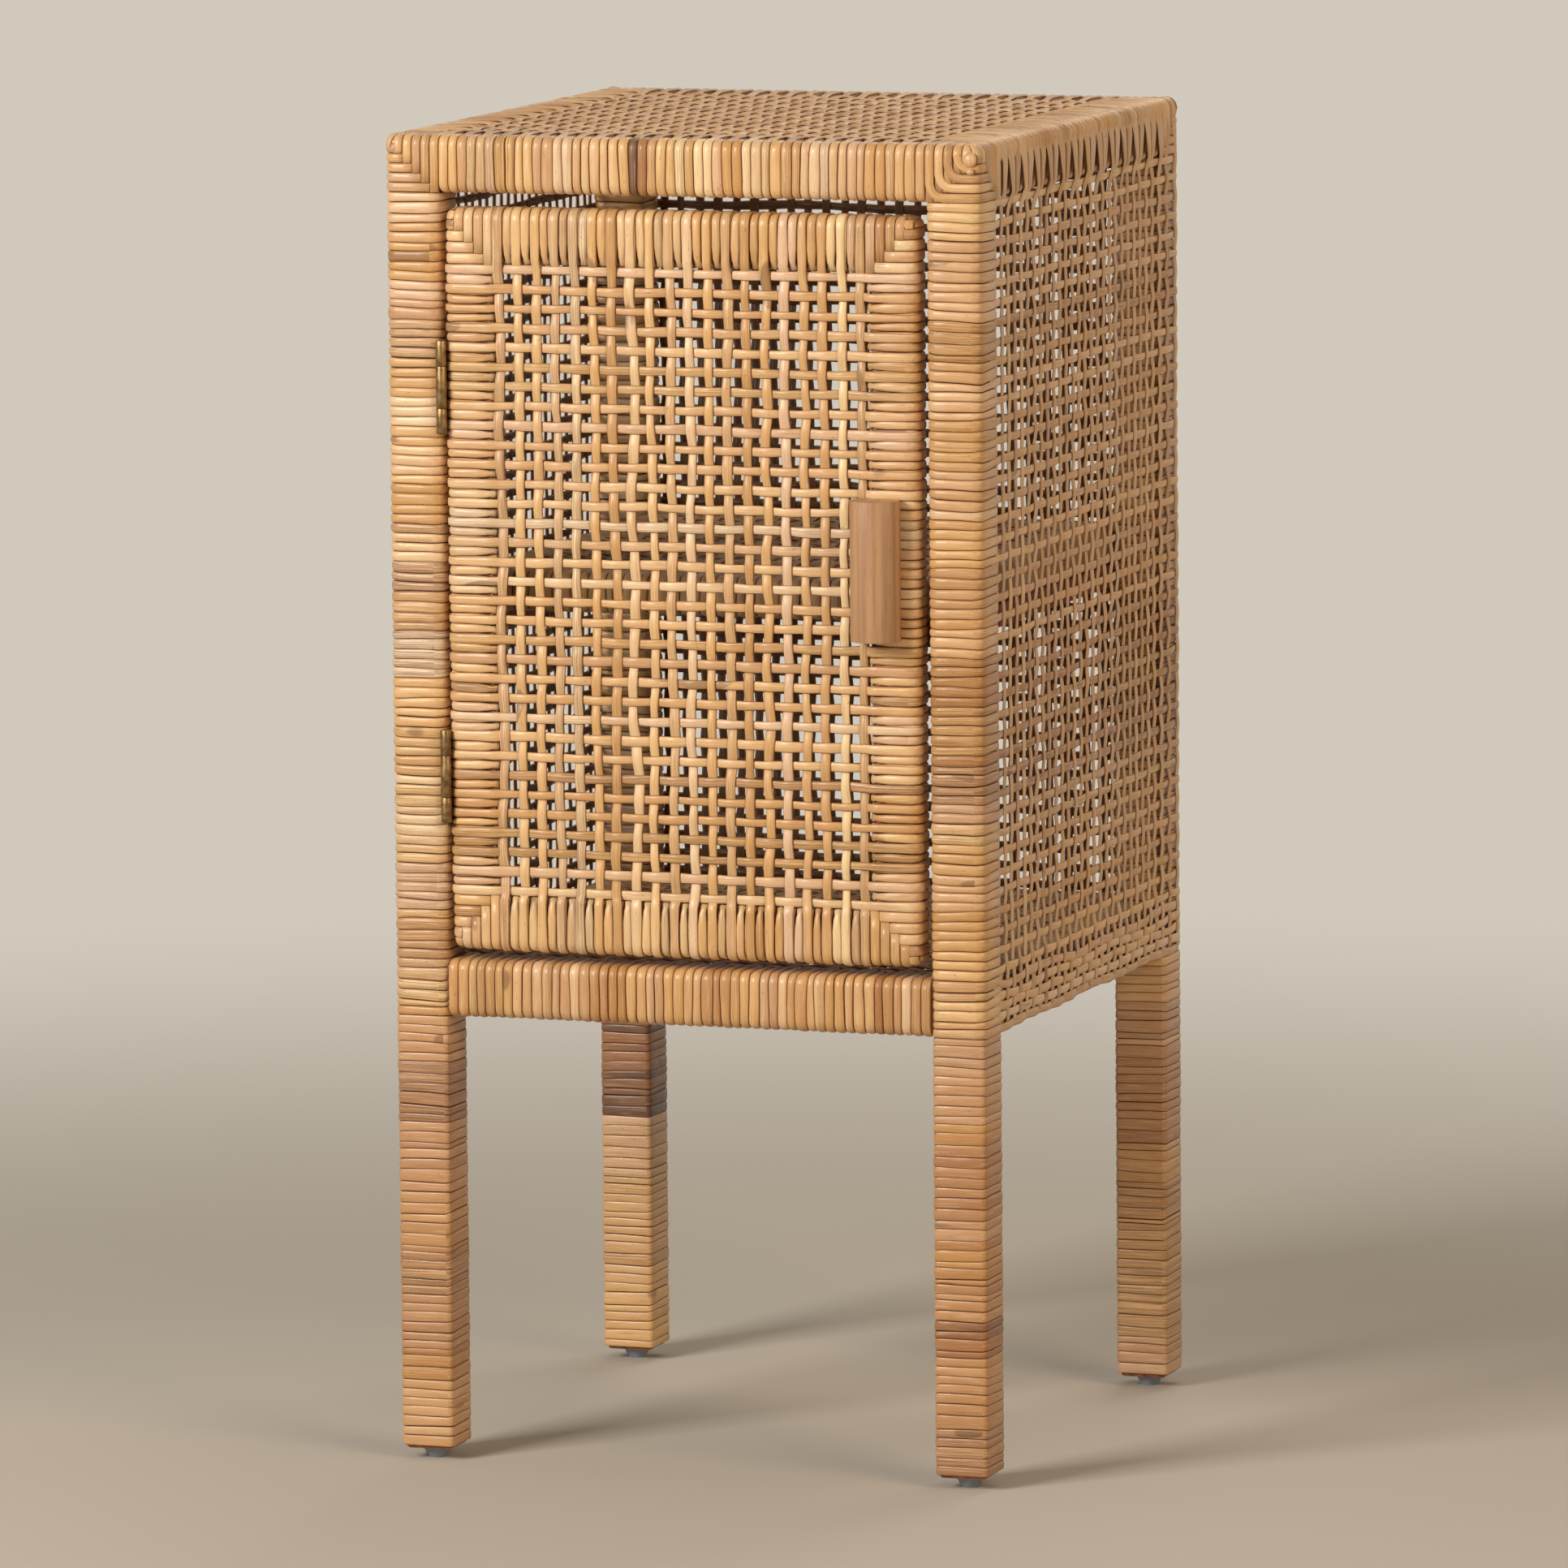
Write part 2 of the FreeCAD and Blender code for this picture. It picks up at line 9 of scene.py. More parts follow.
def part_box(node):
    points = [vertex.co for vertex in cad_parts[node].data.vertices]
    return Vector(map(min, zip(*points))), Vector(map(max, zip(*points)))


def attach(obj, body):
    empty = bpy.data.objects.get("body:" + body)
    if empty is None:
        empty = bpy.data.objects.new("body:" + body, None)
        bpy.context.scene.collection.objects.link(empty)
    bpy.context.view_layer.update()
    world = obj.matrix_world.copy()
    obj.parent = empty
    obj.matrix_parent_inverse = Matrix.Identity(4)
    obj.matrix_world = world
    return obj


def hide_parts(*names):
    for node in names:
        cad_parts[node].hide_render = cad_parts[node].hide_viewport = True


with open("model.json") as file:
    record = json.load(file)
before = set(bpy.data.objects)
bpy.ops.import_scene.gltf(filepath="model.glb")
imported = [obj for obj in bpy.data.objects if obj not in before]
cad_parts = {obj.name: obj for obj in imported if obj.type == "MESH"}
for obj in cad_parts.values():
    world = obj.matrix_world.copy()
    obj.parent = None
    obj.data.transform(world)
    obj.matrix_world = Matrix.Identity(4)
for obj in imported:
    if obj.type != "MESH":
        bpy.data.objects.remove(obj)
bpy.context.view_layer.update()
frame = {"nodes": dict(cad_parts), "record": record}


# ----------------------------------------
# Posts, rails and bearers: square reddish hardwood, sawn and lightly sanded,
# glued into one frame.  Only the feet of the legs show below the cane.
slots = {part["node"]: part["material_slot"] for part in frame["record"]["subparts"]}


def dress(slot, finish):
    """Gives this finish to all the plain solids of a slot."""
    for node, own_slot in slots.items():
        if own_slot == slot:
            frame["nodes"][node].data.materials.clear()
            frame["nodes"][node].data.materials.append(finish)


def paint(web):
    """A colour written as on a paint card, as the linear values a shader takes."""
    channels = [int(web[i:i + 2], 16) / 255 for i in (1, 3, 5)]
    return tuple(c / 12.92 if c <= 0.04045 else ((c + 0.055) / 1.055) ** 2.4 for c in channels) + (1.0,)


class Wire:
    """A shader socket that can stand in a sum."""

    def __init__(self, tree, socket=None):
        self.tree, self.socket = tree, socket

    def node(self, kind, settings=None, output=0, **inputs):
        """Adds a shader node of this kind; inputs are given by name, or as i0, i1 by place."""
        made = self.tree.nodes.new("ShaderNode" + kind)
        for name, value in (settings or {}).items():
            if name == "stops":
                ramp = made.color_ramp.elements
                while len(ramp) < len(value):
                    ramp.new(0.5)
                for stop, (position, colour) in zip(ramp, value):
                    stop.position, stop.color = position, colour
            else:
                setattr(made, name, value)
        for name, value in inputs.items():
            by_place = name[0] == "i" and name[1:].isdigit()
            socket = made.inputs[int(name[1:]) if by_place else name.replace("_", " ")]
            if isinstance(value, Wire):
                self.tree.links.new(value.socket, socket)
            else:
                socket.default_value = value
        return Wire(self.tree, made.outputs[output]) if len(made.outputs) else made

    def maths(self, operation, first, second=0.0):
        return self.node("Math", {"operation": operation}, i0=first, i1=second)

    __add__ = __radd__ = lambda self, other: self.maths("ADD", self, other)
    __mul__ = __rmul__ = lambda self, other: self.maths("MULTIPLY", self, other)
    __sub__ = lambda self, other: self.maths("SUBTRACT", self, other)
    __rsub__ = lambda self, other: self.maths("SUBTRACT", other, self)

    def above(self, low, high):
        """0 below low, 1 above high, and smooth between."""
        settings = {"interpolation_type": "SMOOTHSTEP"}
        return self.node("MapRange", settings, i0=self, i1=low, i2=high, i3=0.0, i4=1.0)

    def mixed(self, first, second):
        """Between two colours, by this socket's value."""
        return self.node("Mix", {"data_type": "RGBA"}, output=2, i0=self, i6=first, i7=second)

    def at(self, x, y, z):
        return self.node("CombineXYZ", i0=x, i1=y, i2=z)

    def where(self):
        """The place on the piece, in metres."""
        return self.node("TexCoord", output=3)

    def parts(self, count=3):
        """The X, Y and Z of this socket's vector."""
        return [self.node("SeparateXYZ", output=i, Vector=self) for i in range(count)]

    def noise(self, scale=1.0, detail=2.0):
        return self.node("TexNoise", Vector=self, Scale=scale, Detail=detail)

    def bumped(self, distance):
        """Normals for a relief of this socket's height."""
        return self.node("Bump", Strength=1.0, Distance=distance, Height=self)


def wired(made):
    """Empties the node tree of a new material or world, and gives a wire to start from."""
    made.use_nodes = True
    made.node_tree.nodes.clear()
    return Wire(made.node_tree)


def material(name, build, **constants):
    """A material with one principled shader; build gives the sockets that vary."""
    made = bpy.data.materials.new(name)
    wire = wired(made)
    wire.node("OutputMaterial", Surface=wire.node("BsdfPrincipled", **build(wire), **constants))
    return made


def timber_looks(wire):
    x, y, z = wire.where().parts()
    grain = wire.at(x * 240.0, y * 240.0, z * 9.0).noise(1.0, 5.0)
    pores = wire.at(x * 900.0, y * 900.0, z * 40.0).noise().above(0.58, 0.7)
    colour = grain.above(0.3, 0.7).mixed(paint("#8A4F34"), paint("#B97A55"))
    colour = (pores * 0.5).mixed(colour, paint("#5C3222"))
    relief = grain + pores * -0.4
    return {"Base_Color": colour, "Roughness": 0.62 + 0.2 * pores, "Normal": relief.bumped(0.0004)}


dress("frame_timber", material("reddish_timber", timber_looks))


# ----------------------------------------
# Legs and corner posts: split cane five millimetres wide, wound round each
# timber turn against turn, one layer on the leg and a thicker one above it.
def cane_looks(wire):
    """Shiny split cane, dull and brown on its pith side and darker still there as painted shade, its edges
    darkened as painted shade in the grooves between strands.  The tint holds tone, blush, ribs and a number.
    """
    tint = wire.node("Attribute", {"attribute_name": "tint"})
    tone, blush, ribs = (wire.node("SeparateColor", output=i, Color=tint) for i in range(3))
    number = wire.node("Attribute", {"attribute_name": "tint"}, output=3) * 97.0
    u, v = wire.node("UVMap", {"uv_map": "strand"}).parts(2)

    def shades(*webs):
        """From the darkest tone to the palest."""
        stops = list(zip((0.0, 0.07, 0.16, 0.4, 0.68, 1.0), map(paint, webs)))
        return wire.node("ValToRGB", {"stops": stops}, Fac=tone)

    straw = shades("#3E2617", "#6F4E38", "#AA7042", "#CB985C", "#E2B57B", "#F1D3A2")
    rose = shades("#33201A", "#60463C", "#A17455", "#C69A77", "#DEB693", "#ECD0B4")
    colour = blush.mixed(straw, rose)
    cloud = wire.at(u * 28.0, v * 0.6, number).noise(1.0, 3.0)
    streak = wire.at(u * 55.0, v * 7.0, number).noise(1.0, 4.0)
    fibre = wire.at(u * 60.0, v * 22.0, number).noise()
    fleck = wire.at(u * 420.0, v * 5.0, number).noise().above(0.69, 0.75)
    scar = wire.at(u * 21.0, 0.3 * v, number + 31.0).noise(1.0, 0.0).above(0.77, 0.8)
    rib = wire.at(u * 9.0, v * 9.0, number + 7.0).noise(1.0, 1.0)
    ridge = (rib.above(0.4, 0.6) * ribs).above(0.1, 0.9)
    side = wire.maths("ABSOLUTE", v * 2.0 - 1.0)
    for share, shade in ((cloud.above(0.48, 0.78) * 0.45, "#BA824C"),
                         (streak.above(0.5, 0.85) * 0.5, "#9E6C46"),
                         ((1.0 - streak).above(0.52, 0.85) * 0.5, "#F5E2C0"),
                         (fibre.above(0.54, 0.78) * 0.45, "#8C5D38"),
                         # darker lines in the hollows between the ribs, painted shade
                         ((1.0 - ridge) * (ribs * 0.3), "#8F5B34"),
                         (fleck * 0.5, "#4A3020"),
                         (scar * 0.55, "#6E4A2E"),
                         (side.above(0.84, 1.0) * 0.6, "#6E4424"),  # the strand's edges, darkened as painted shade in the groove between strands
                         (side.above(1.1, 1.7) * 0.85, "#5A3A22")):  # its pith side, brown of its own and darker still as painted shade
        colour = share.mixed(colour, paint(shade))
    relief = ridge * ribs + fibre * 0.2 + scar * 0.5
    rough = 0.26 + 0.2 * streak + 0.14 * cloud
    return {"Base_Color": colour, "Roughness": rough, "Normal": relief.bumped(0.0004)}


cane = material("split_cane", cane_looks, Coat_Weight=0.25, Coat_Roughness=0.18, Specular_IOR_Level=0.4)

MM = 0.001
STRAND = 5.2  # width of a strand of cane
GROOVE = -0.05  # least daylight between two turns, which are pressed together
STRAND_HEIGHT, LEG_STRAND_HEIGHT = 2.9, 2.0
ARRIS, LEG_ARRIS = 5.6, 2.6  # radius at which the turns go round a corner
TURN = [(-0.5, -1.0), (-0.5, -0.4), (-0.44, -0.22), (-0.3, -0.08), (-0.1, -0.01),
        (0.1, -0.01), (0.3, -0.08), (0.44, -0.22), (0.5, -0.4), (0.5, -1.0)]
AXES = X, Y, Z = np.eye(3)


def crowned(share):
    """The section of a turn, with this share of the full roundness of its shiny side."""
    return [(x, y if y == -1.0 else share * y) for x, y in TURN]


def smooth(x):
    x = np.clip(x, 0.0, 1.0)
    return x * x * (3 - 2 * x)


def unit(vectors):
    return vectors / np.linalg.norm(vectors, axis=-1, keepdims=True)


def span(node):
    """The low and high ends of a solid along X, Y and Z, in millimetres."""
    return [(low / MM, high / MM) for low, high in zip(*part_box(node))]


def grown(pair, amount):
    return (pair[0] - amount, pair[1] + amount)


def on_face(places, plane):
    """Which of a rim's places lie on the flat face at this plane."""
    return abs(places - plane) < 1.0


class Cane:
    """Strands of cane laid one by one, and then made one mesh."""

    def __init__(self, seed):
        self.random = np.random.default_rng(seed)
        self.points, self.corners, self.sizes, self.lie, self.tint = [], [], [], [], []
        self.count = 0

    def dye(self, tone=0.63, blush=0.25, spread=0.12):
        """Tone, blush, ribs and number of a strand not used before."""
        draw = self.random.random(4)
        tone = tone + spread * self.random.standard_normal()
        if draw[0] < 0.025:
            tone = tone * (0.35 + 0.3 * draw[1])
        blush = blush + 0.3 * self.random.standard_normal()
        return (np.clip(tone, 0, 1), np.clip(blush, 0, 0.9), 0.1 + 0.9 * draw[2] ** 2, draw[3])

    def dyes(self, count, longest=5, spread=0.1, drift=0.06, paler=0.0, pinker=0.0):
        """Dyes for turns in a row: one strand makes a few turns and then the next goes on."""
        made, tone, blush = [], 0.0, 0.0
        while len(made) < count:
            turns = self.random.integers(1, longest + 1)
            hold = 0.93 ** turns
            tone = hold * tone + math.sqrt(1 - hold * hold) * drift * self.random.standard_normal()
            blush = hold * blush + math.sqrt(1 - hold * hold) * 2 * drift * self.random.standard_normal()
            dye = self.dye(0.63 + paler + tone, 0.25 + pinker + blush, spread)
            for _ in range(turns):
                made.append((np.clip(dye[0] + 0.04 * self.random.standard_normal(), 0, 1),)
                            + dye[1:3] + (self.random.random(),))
        return made[:count]

    def lay(self, path, out, width, dye, lift=0.0, height=STRAND_HEIGHT, section=TURN, closed=False):
        """One strand along path, outer side towards out; section is in shares of width and height."""
        path, out, section = (np.asarray(values, float) for values in (path, out, section))
        count, ring = len(path), len(section)
        if closed:
            ahead = np.roll(path, -1, 0) - np.roll(path, 1, 0)
        else:
            ahead = np.gradient(path, axis=0)
        across = unit(np.cross(out, ahead))
        width, lift, height = (np.broadcast_to(values, count) for values in (width, lift, height))
        sideways = section[:, 0] * width[:, None]
        up = section[:, 1] * height[:, None] + lift[:, None]
        points = path[:, None] + across[:, None] * sideways[..., None] + out[:, None] * up[..., None]
        steps = np.linalg.norm(np.roll(path, -1, 0) - path, axis=1)
        along = np.concatenate([[0], np.cumsum(steps)]) * MM + 3 * self.random.random()
        i = np.arange(count if closed else count - 1)[:, None]
        j = np.arange(ring)[None]
        k, after = (j + 1) % ring, (i + 1) % count
        quads = np.stack([i * ring + j, after * ring + j, after * ring + k, i * ring + k], -1).reshape(-1, 4)
        # Across the strand v is 0 to 1 on its shiny side, and past that on either hand it is pith.
        pith = section[:, 1] < -0.4 - np.abs(section[:, 0])
        v = np.where(pith, np.where(section[:, 0] < 0, -0.5, 1.5), section[:, 0] + 0.5)
        v_from, v_next = np.append(v[:-1], -0.5), np.append(v[1:], v[0])
        u_low, v_low = np.broadcast_arrays(along[i], v_from[j])
        u_high, v_high = np.broadcast_arrays(along[i + 1], v_next[j])
        lie = np.stack([u_low, v_low, u_high, v_low, u_high, v_high, u_low, v_high], -1).reshape(-1, 2)
        self.points.append(points.reshape(-1, 3))
        self.corners.append((quads + self.count).ravel())
        self.sizes.append(np.full(len(quads), 4))
        self.lie.append(lie)
        if not closed:
            for first, order in ((0, 1), (ring * (count - 1), -1)):
                self.corners.append((first + np.arange(ring) + self.count)[::order])
                self.sizes.append(np.array([ring]))
                self.lie.append(np.stack([np.full(ring, along[0]), v[::order]], -1))
        self.tint.append(np.repeat(np.broadcast_to(dye, (count, 4)), ring, 0))
        self.count += count * ring

    def wind(self, axis, points, out, edges, dyes, height=STRAND_HEIGHT, woven=(), section=TURN):
        """Turns round a member, at these points and normals across it, with joints at these edges.

        Near a woven edge (0 to 1) odd turns shrink and dive, and those that dive deep are darkened there as
        painted shade; even ones may lean in pairs."""
        across = AXES[[axis, (axis + 1) % 3, (axis + 2) % 3]]
        around = np.arange(len(points)) / len(points) * 2 * math.pi
        for turn, dye in enumerate(dyes):
            draw = self.random.random(3)
            low, high = edges[turn], edges[turn + 1]
            gap = GROOVE + 0.55 * draw[0] ** 3 + 0.12 * (1 + np.sin(around + 6 * draw[1]))
            middle, width = (low + high) / 2, high - low - gap
            lift = 0.05 + 0.4 * draw[2] + np.zeros(len(points))
            dye_and_shade = np.tile(dye, (len(points), 1))
            for near, narrow, dive, lean in woven:
                if turn % 2:
                    width, lift = width * (1 - narrow * near), lift - dive * near
                    # Painted shade: a turn that dives deep behind its neighbours is darkened towards the
                    # woven edge.
                    dye_and_shade[:, 0] *= 1 - near * np.clip(dive - 1.5, 0, 1)
                else:
                    width, lift = width * (1 - 0.14 * near), lift - 0.35 * near
                    middle = middle + lean * near * (-1) ** (turn // 2)
            path = np.column_stack([middle, points]) @ across
            normals = np.column_stack([0 * middle, out]) @ across
            self.lay(path, normals, width, dye_and_shade, lift, height + lift, section, True)

    def edges(self, places, count, wander=0.3, tilt=0.4):
        """Wavy joints between turns, round a rim of count points, straight at both ends."""
        around = np.arange(count) / count * 2 * math.pi
        rows, lean = [], np.zeros(2)
        for row, place in enumerate(places):
            calm = smooth(min(row, len(places) - 1 - row) / 2)
            lean = 0.75 * lean + 0.65 * tilt * self.random.standard_normal(2)
            phase = self.random.random(2) * 2 * math.pi
            wave = lean[0] * np.cos(around) + lean[1] * np.sin(around)
            wave = wave + wander * (0.6 * np.cos(2 * around + phase[0]) + 0.5 * np.cos(4 * around + phase[1]))
            wave = wave + wander * self.random.standard_normal()
            rows.append(place + calm * wave)
        return np.array(rows)

    def places(self, low, high, turns, spread=0.16):
        """Joints of turns whose widths differ a little."""
        widths = np.clip(1 + spread * self.random.standard_normal(turns), 0.66, 1.4)
        return low + np.concatenate([[0], np.cumsum(widths / widths.sum())]) * (high - low)

    def add(self, other):
        self.corners += [corners + self.count for corners in other.corners]
        self.points += other.points
        self.sizes += other.sizes
        self.lie += other.lie
        self.tint += other.tint
        self.count += other.count

    def piece(self, name, body, slot, *replaced):
        mesh = bpy.data.meshes.new(name)
        points = np.concatenate(self.points) * MM
        corners, sizes = np.concatenate(self.corners), np.concatenate(self.sizes)
        mesh.vertices.add(len(points))
        mesh.vertices.foreach_set("co", points.ravel())
        mesh.loops.add(len(corners))
        mesh.loops.foreach_set("vertex_index", corners.astype(np.int32))
        mesh.polygons.add(len(sizes))
        mesh.polygons.foreach_set("loop_start", (np.cumsum(sizes) - sizes).astype(np.int32))
        mesh.update(calc_edges=True)
        mesh.uv_layers.new(name="strand").data.foreach_set("uv", np.concatenate(self.lie).ravel())
        tint = mesh.attributes.new("tint", "FLOAT_COLOR", "POINT")
        tint.data.foreach_set("color", np.concatenate(self.tint).ravel())
        mesh.shade_smooth()
        mesh.materials.append(cane)
        made = bpy.data.objects.new(name, mesh)
        bpy.context.scene.collection.objects.link(made)
        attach(made, body)
        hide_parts(*replaced)


def rim(a, b, radius=ARRIS, between=2):
    """A rounded rectangle as points and outward normals, four to a corner and some between."""
    corners = np.array([(a[1], b[0]), (a[1], b[1]), (a[0], b[1]), (a[0], b[0])])
    centres = corners + radius * np.sign(corners.mean(0) - corners)
    points, out = [], []
    for index, centre in enumerate(centres):
        for step in (0, 30, 60, 90):
            turn = math.radians(90 * index - 90 + step)
            out.append(np.array([math.cos(turn), math.sin(turn)]))
            points.append(centre + radius * out[-1])
        start, end = points[-1], centres[(index + 1) % 4] + radius * out[-1]
        for share in range(1, between + 1):
            points.append(start + (end - start) * share / (between + 1))
            out.append(out[-1])
    return np.array(points), np.array(out)


def trail(stops, normal, bends):
    """A strand's path and normals: a bend has a radius, and folds over an arris or else lies flat."""
    path, out = [stops[0]], [normal]
    for before, stop, after, (radius, folds) in zip(stops, stops[1:], stops[2:], bends):
        a, b = unit(stop - before), unit(after - stop)
        path.append((path[-1] + stop - a * radius) / 2)
        out.append(normal)
        for turn in np.radians((0, 22.5, 45, 67.5, 90)):
            spoke = a * math.sin(turn) - b * math.cos(turn)
            path.append(stop + (b - a + spoke) * radius)
            normal = spoke if folds else normal
            out.append(normal)
    path += [(path[-1] + stops[-1]) / 2, stops[-1]]
    return np.array(path), np.array(out + [normal, normal])


def ease(points, corner, inward, radius, outermost=False):
    """Rounds what lies at an outer corner towards a ball of this radius, and the outermost turns fully."""
    local = (points - corner) * inward
    away = np.minimum(local - radius, 0)
    reach = np.linalg.norm(away, axis=1, keepdims=True)
    weight = 1.0 if outermost else smooth(1 - local.max(axis=1, keepdims=True) / radius)
    weight = weight * (reach > radius)
    return corner + (local + weight * away * (radius / np.maximum(reach, 1e-6) - 1)) * inward


LEG_TURNS = 45
BASE_TURNS = 6  # turns of a post beside the bottom rails
LEG_CANE, POST_CANE = 2.3, 3.0  # how far the cane stands out from the timber
LEG_CROWN, POST_CROWN = 0.5, 0.75  # shares of a turn's full roundness
UNDERSIDE, FLOOR_LEVEL = span("rail_bottom_front_winding")[2]
HEAD, TOP = span("rail_top_front_winding")[2]
POST = TOP - HEAD
CORNER_STRANDS = 6
CORNER_GAP, CORNER_LIFT = 0.2, 0.3  # daylight between the turns of a corner, and their unevenness
CORNER_EASE = 6.4  # radius to which the frame's corners are rounded
SHORTEST = ARRIS + 0.2  # a corner's turn at least goes round the arris
TIP_ARC, TIP_WIDTH, TIP_HEIGHT = (108, -38), 5.6, 2.2  # degrees above the level, and millimetres
KNOT_IN = 5.2  # a strand's end is knotted into two beads near the right front corner
KNOT = ((8.0, 8.5, 7.5), (14.2, 3.9, 4.5))  # place below the corner, length and width of each
KNOT_BEND = 7.2  # radius of the strands' bends round the knot
KNOT_LAYER = 1.0  # how far below them a first layer lies
WEFTS = 40  # woven strands that cross a panel between the rails
SIDE_SINK = 2.5  # how much thinner the turns are under the side weave
SIDE_LAP = 5.0  # how far the side weave lies over a front post
# How much darker the cane of each leg is than the rest, partly its own tone and partly painted shade for the
# light that falls off towards the floor, most on the front legs where the lamp is strongest; and which of its
# turns are stained.
LEG_TONES_AND_SHADE = {("left", "front"): -0.29, ("right", "front"): -0.26,
             ("left", "back"): -0.05, ("right", "back"): -0.09}
STAINS = {("left", "back"): (range(25, 45), 0.04, 0.4),  # their tone and blush
          ("right", "front"): (range(12, 16), 0.08, 0.15)}


def row_dyes(seed, strands, longest, paler=0.0):
    """Dyes for rows of which every second one goes on as a woven strand."""
    return Cane(seed).dyes(2 * strands - 1, longest, 0.12, paler=paler)


def post_dyes(x_name):
    """Those of the posts, which the side weave goes on from."""
    seed, paler = (43, -0.07) if x_name == "right" else (44, -0.04)
    return row_dyes(seed, WEFTS, 5, paler)


for seed, (x_name, y_name) in enumerate(LEG_TONES_AND_SHADE):
    post = f"post_{y_name}_{x_name}"
    pile = Cane(110 + seed)
    core_x, core_y = span(post)[:2]
    points, out = rim(grown(core_x, LEG_CANE), grown(core_y, LEG_CANE), LEG_ARRIS)
    foot = span(f"{post}_winding")[2][0]
    edges = pile.edges(pile.places(foot, UNDERSIDE, LEG_TURNS), len(points), 0.28)
    # A leg's tone is partly painted shade, as above.
    dyes = pile.dyes(LEG_TURNS, 7, 0.075, 0.05, LEG_TONES_AND_SHADE[x_name, y_name], 0.3)
    stained, tone, blush = STAINS.get((x_name, y_name), ((), 0, 0))
    for turn in stained:
        dyes[turn] = (tone + 0.12 * pile.random.random(), blush) + dyes[turn][2:]
    pile.wind(2, points, out, edges, dyes, LEG_STRAND_HEIGHT, section=crowned(LEG_CROWN))

    body_x, body_y = grown(core_x, POST_CANE), grown(core_y, POST_CANE)
    points, out = rim(body_x, body_y)
    sign, outer = (1, body_x[1]) if x_name == "right" else (-1, body_x[0])
    arris_y, woven_from = (body_y[0], body_y[1] - SIDE_LAP) if y_name == "front" else body_y[::-1]
    points[on_face(points[:, 0], outer) & (points[:, 1] >= woven_from), 0] -= sign * SIDE_SINK
    base = pile.edges(pile.places(UNDERSIDE, FLOOR_LEVEL, BASE_TURNS), len(points), 0.5, 1.0)
    edges = pile.edges(np.linspace(FLOOR_LEVEL, HEAD, 2 * WEFTS), len(points), 0.36)
    dyes = pile.dyes(BASE_TURNS, 2) + post_dyes(x_name)
    pile.wind(2, points, out, np.concatenate([base[:-1], edges]), dyes, section=crowned(POST_CROWN))

    corner = np.array([outer, arris_y, TOP])
    inward = np.array([-sign, 1 if y_name == "front" else -1, -1])
    in_x, in_y, in_z = AXES * inward[:, None]
    laid = Cane(200 + seed)
    pitch = POST / CORNER_STRANDS
    width = pitch - CORNER_GAP
    for strand in range(CORNER_STRANDS):
        away, lift = (strand + 0.5) * pitch, CORNER_LIFT * laid.random.random()
        longer, shorter = max(away + width / 2, SHORTEST), max(away - width / 2, SHORTEST)
        under = lift
        if post == "post_front_right" and strand > 1:
            # These turn round the knot on the front and go on over the outer side.
            under = lift - KNOT_LAYER
            stops = [in_x * away + in_y * longer, in_x * away, (in_x + in_z) * away, in_z * away,
                     in_z * away + in_y * shorter]
            path, normals = trail([corner + stop for stop in stops], -in_z,
                                  [(ARRIS, True), (KNOT_BEND, False), (ARRIS, True)])
            laid.lay(path, normals, width, laid.dye(), lift)
        for start, first, second, one, two, raised in ((in_x * away, in_y, in_z, longer, longer, under),
                                                       (in_y * away, in_x, in_z, shorter, longer, lift),
                                                       (in_z * away, in_x, in_y, shorter, shorter, under)):
            stops = [corner + start + first * one, corner + start, corner + start + second * two]
            path, normals = trail(stops, -second, [(ARRIS, True)])
            laid.lay(path, normals, width, laid.dye(), raised)
    laid.points = [ease(turn_points, corner, inward, CORNER_EASE, turn < 3)
                   for turn, turn_points in enumerate(laid.points)]
    # A last turn is drawn over the tip, from the top down on to the arris, and tucks in at both ends.
    angle = np.radians(np.linspace(*TIP_ARC, 13))[:, None]
    heading = -np.cos(angle) * (in_x + in_y) / math.sqrt(2) - np.sin(angle) * in_z
    tucked = smooth((abs(np.linspace(-1, 1, 13)) - 0.5) / 0.5)
    laid.lay(corner + CORNER_EASE * (inward + heading), heading, TIP_WIDTH * (1 - 0.3 * tucked),
             laid.dye(0.66), 0.85 - 1.7 * tucked, TIP_HEIGHT)
    if post == "post_front_right":
        steps = np.linspace(-1, 1, 15)
        swell = np.sqrt(1 - 0.97 * steps ** 2)
        for below, length, width in KNOT:
            middle = corner + KNOT_IN * in_x + below * in_z
            laid.lay(middle + steps[:, None] * length / 2 * in_z, np.tile(-in_y, (15, 1)), width * swell,
                     laid.dye(0.66), 3.0 * swell - 0.9)
    pile.add(laid)
    pile.piece(f"{post}_cane", "cabinet", "cane", f"{post}_winding")


# ----------------------------------------
# Rails of the carcass: the same cane wound round each one.  Every second turn
# is the end of a woven strand, and the turns between tuck in behind it, where on the top rails they are
# darkened as painted shade.
WARPS_X, WARPS_Y = 26, 27  # woven strands side by side along the rails
PAIR_LEAN = 2.4  # the strands of the side hang from the top rail in pairs
HANG = 22.0  # height of the gaps between those pairs, on the rail's face
RIBBON = 0.95  # how much wider a strand is above its gap, for its own width
DIVE = 2.8  # how deep a turn goes in behind the strands beside it, deep enough that it is darkened there fully as painted shade
BROWN_TURNS = {20: 0.08, 21: 0.22}  # of the top front rail, with their tones


def rail_dyes(level, along_x):
    """Those of a pair of carcass rails, which the top weave and the sides go on from."""
    return row_dyes(70 + 2 * (level == "top") + along_x, WARPS_X if along_x else WARPS_Y, 2)


def nearing(points, column, plane, start, end):
    """How near each point of a rim is to a woven edge, on this face of it: 0 at start and 1 at end."""
    return smooth((points[:, 1 - column] - start) / (end - start)) * on_face(points[:, column], plane)


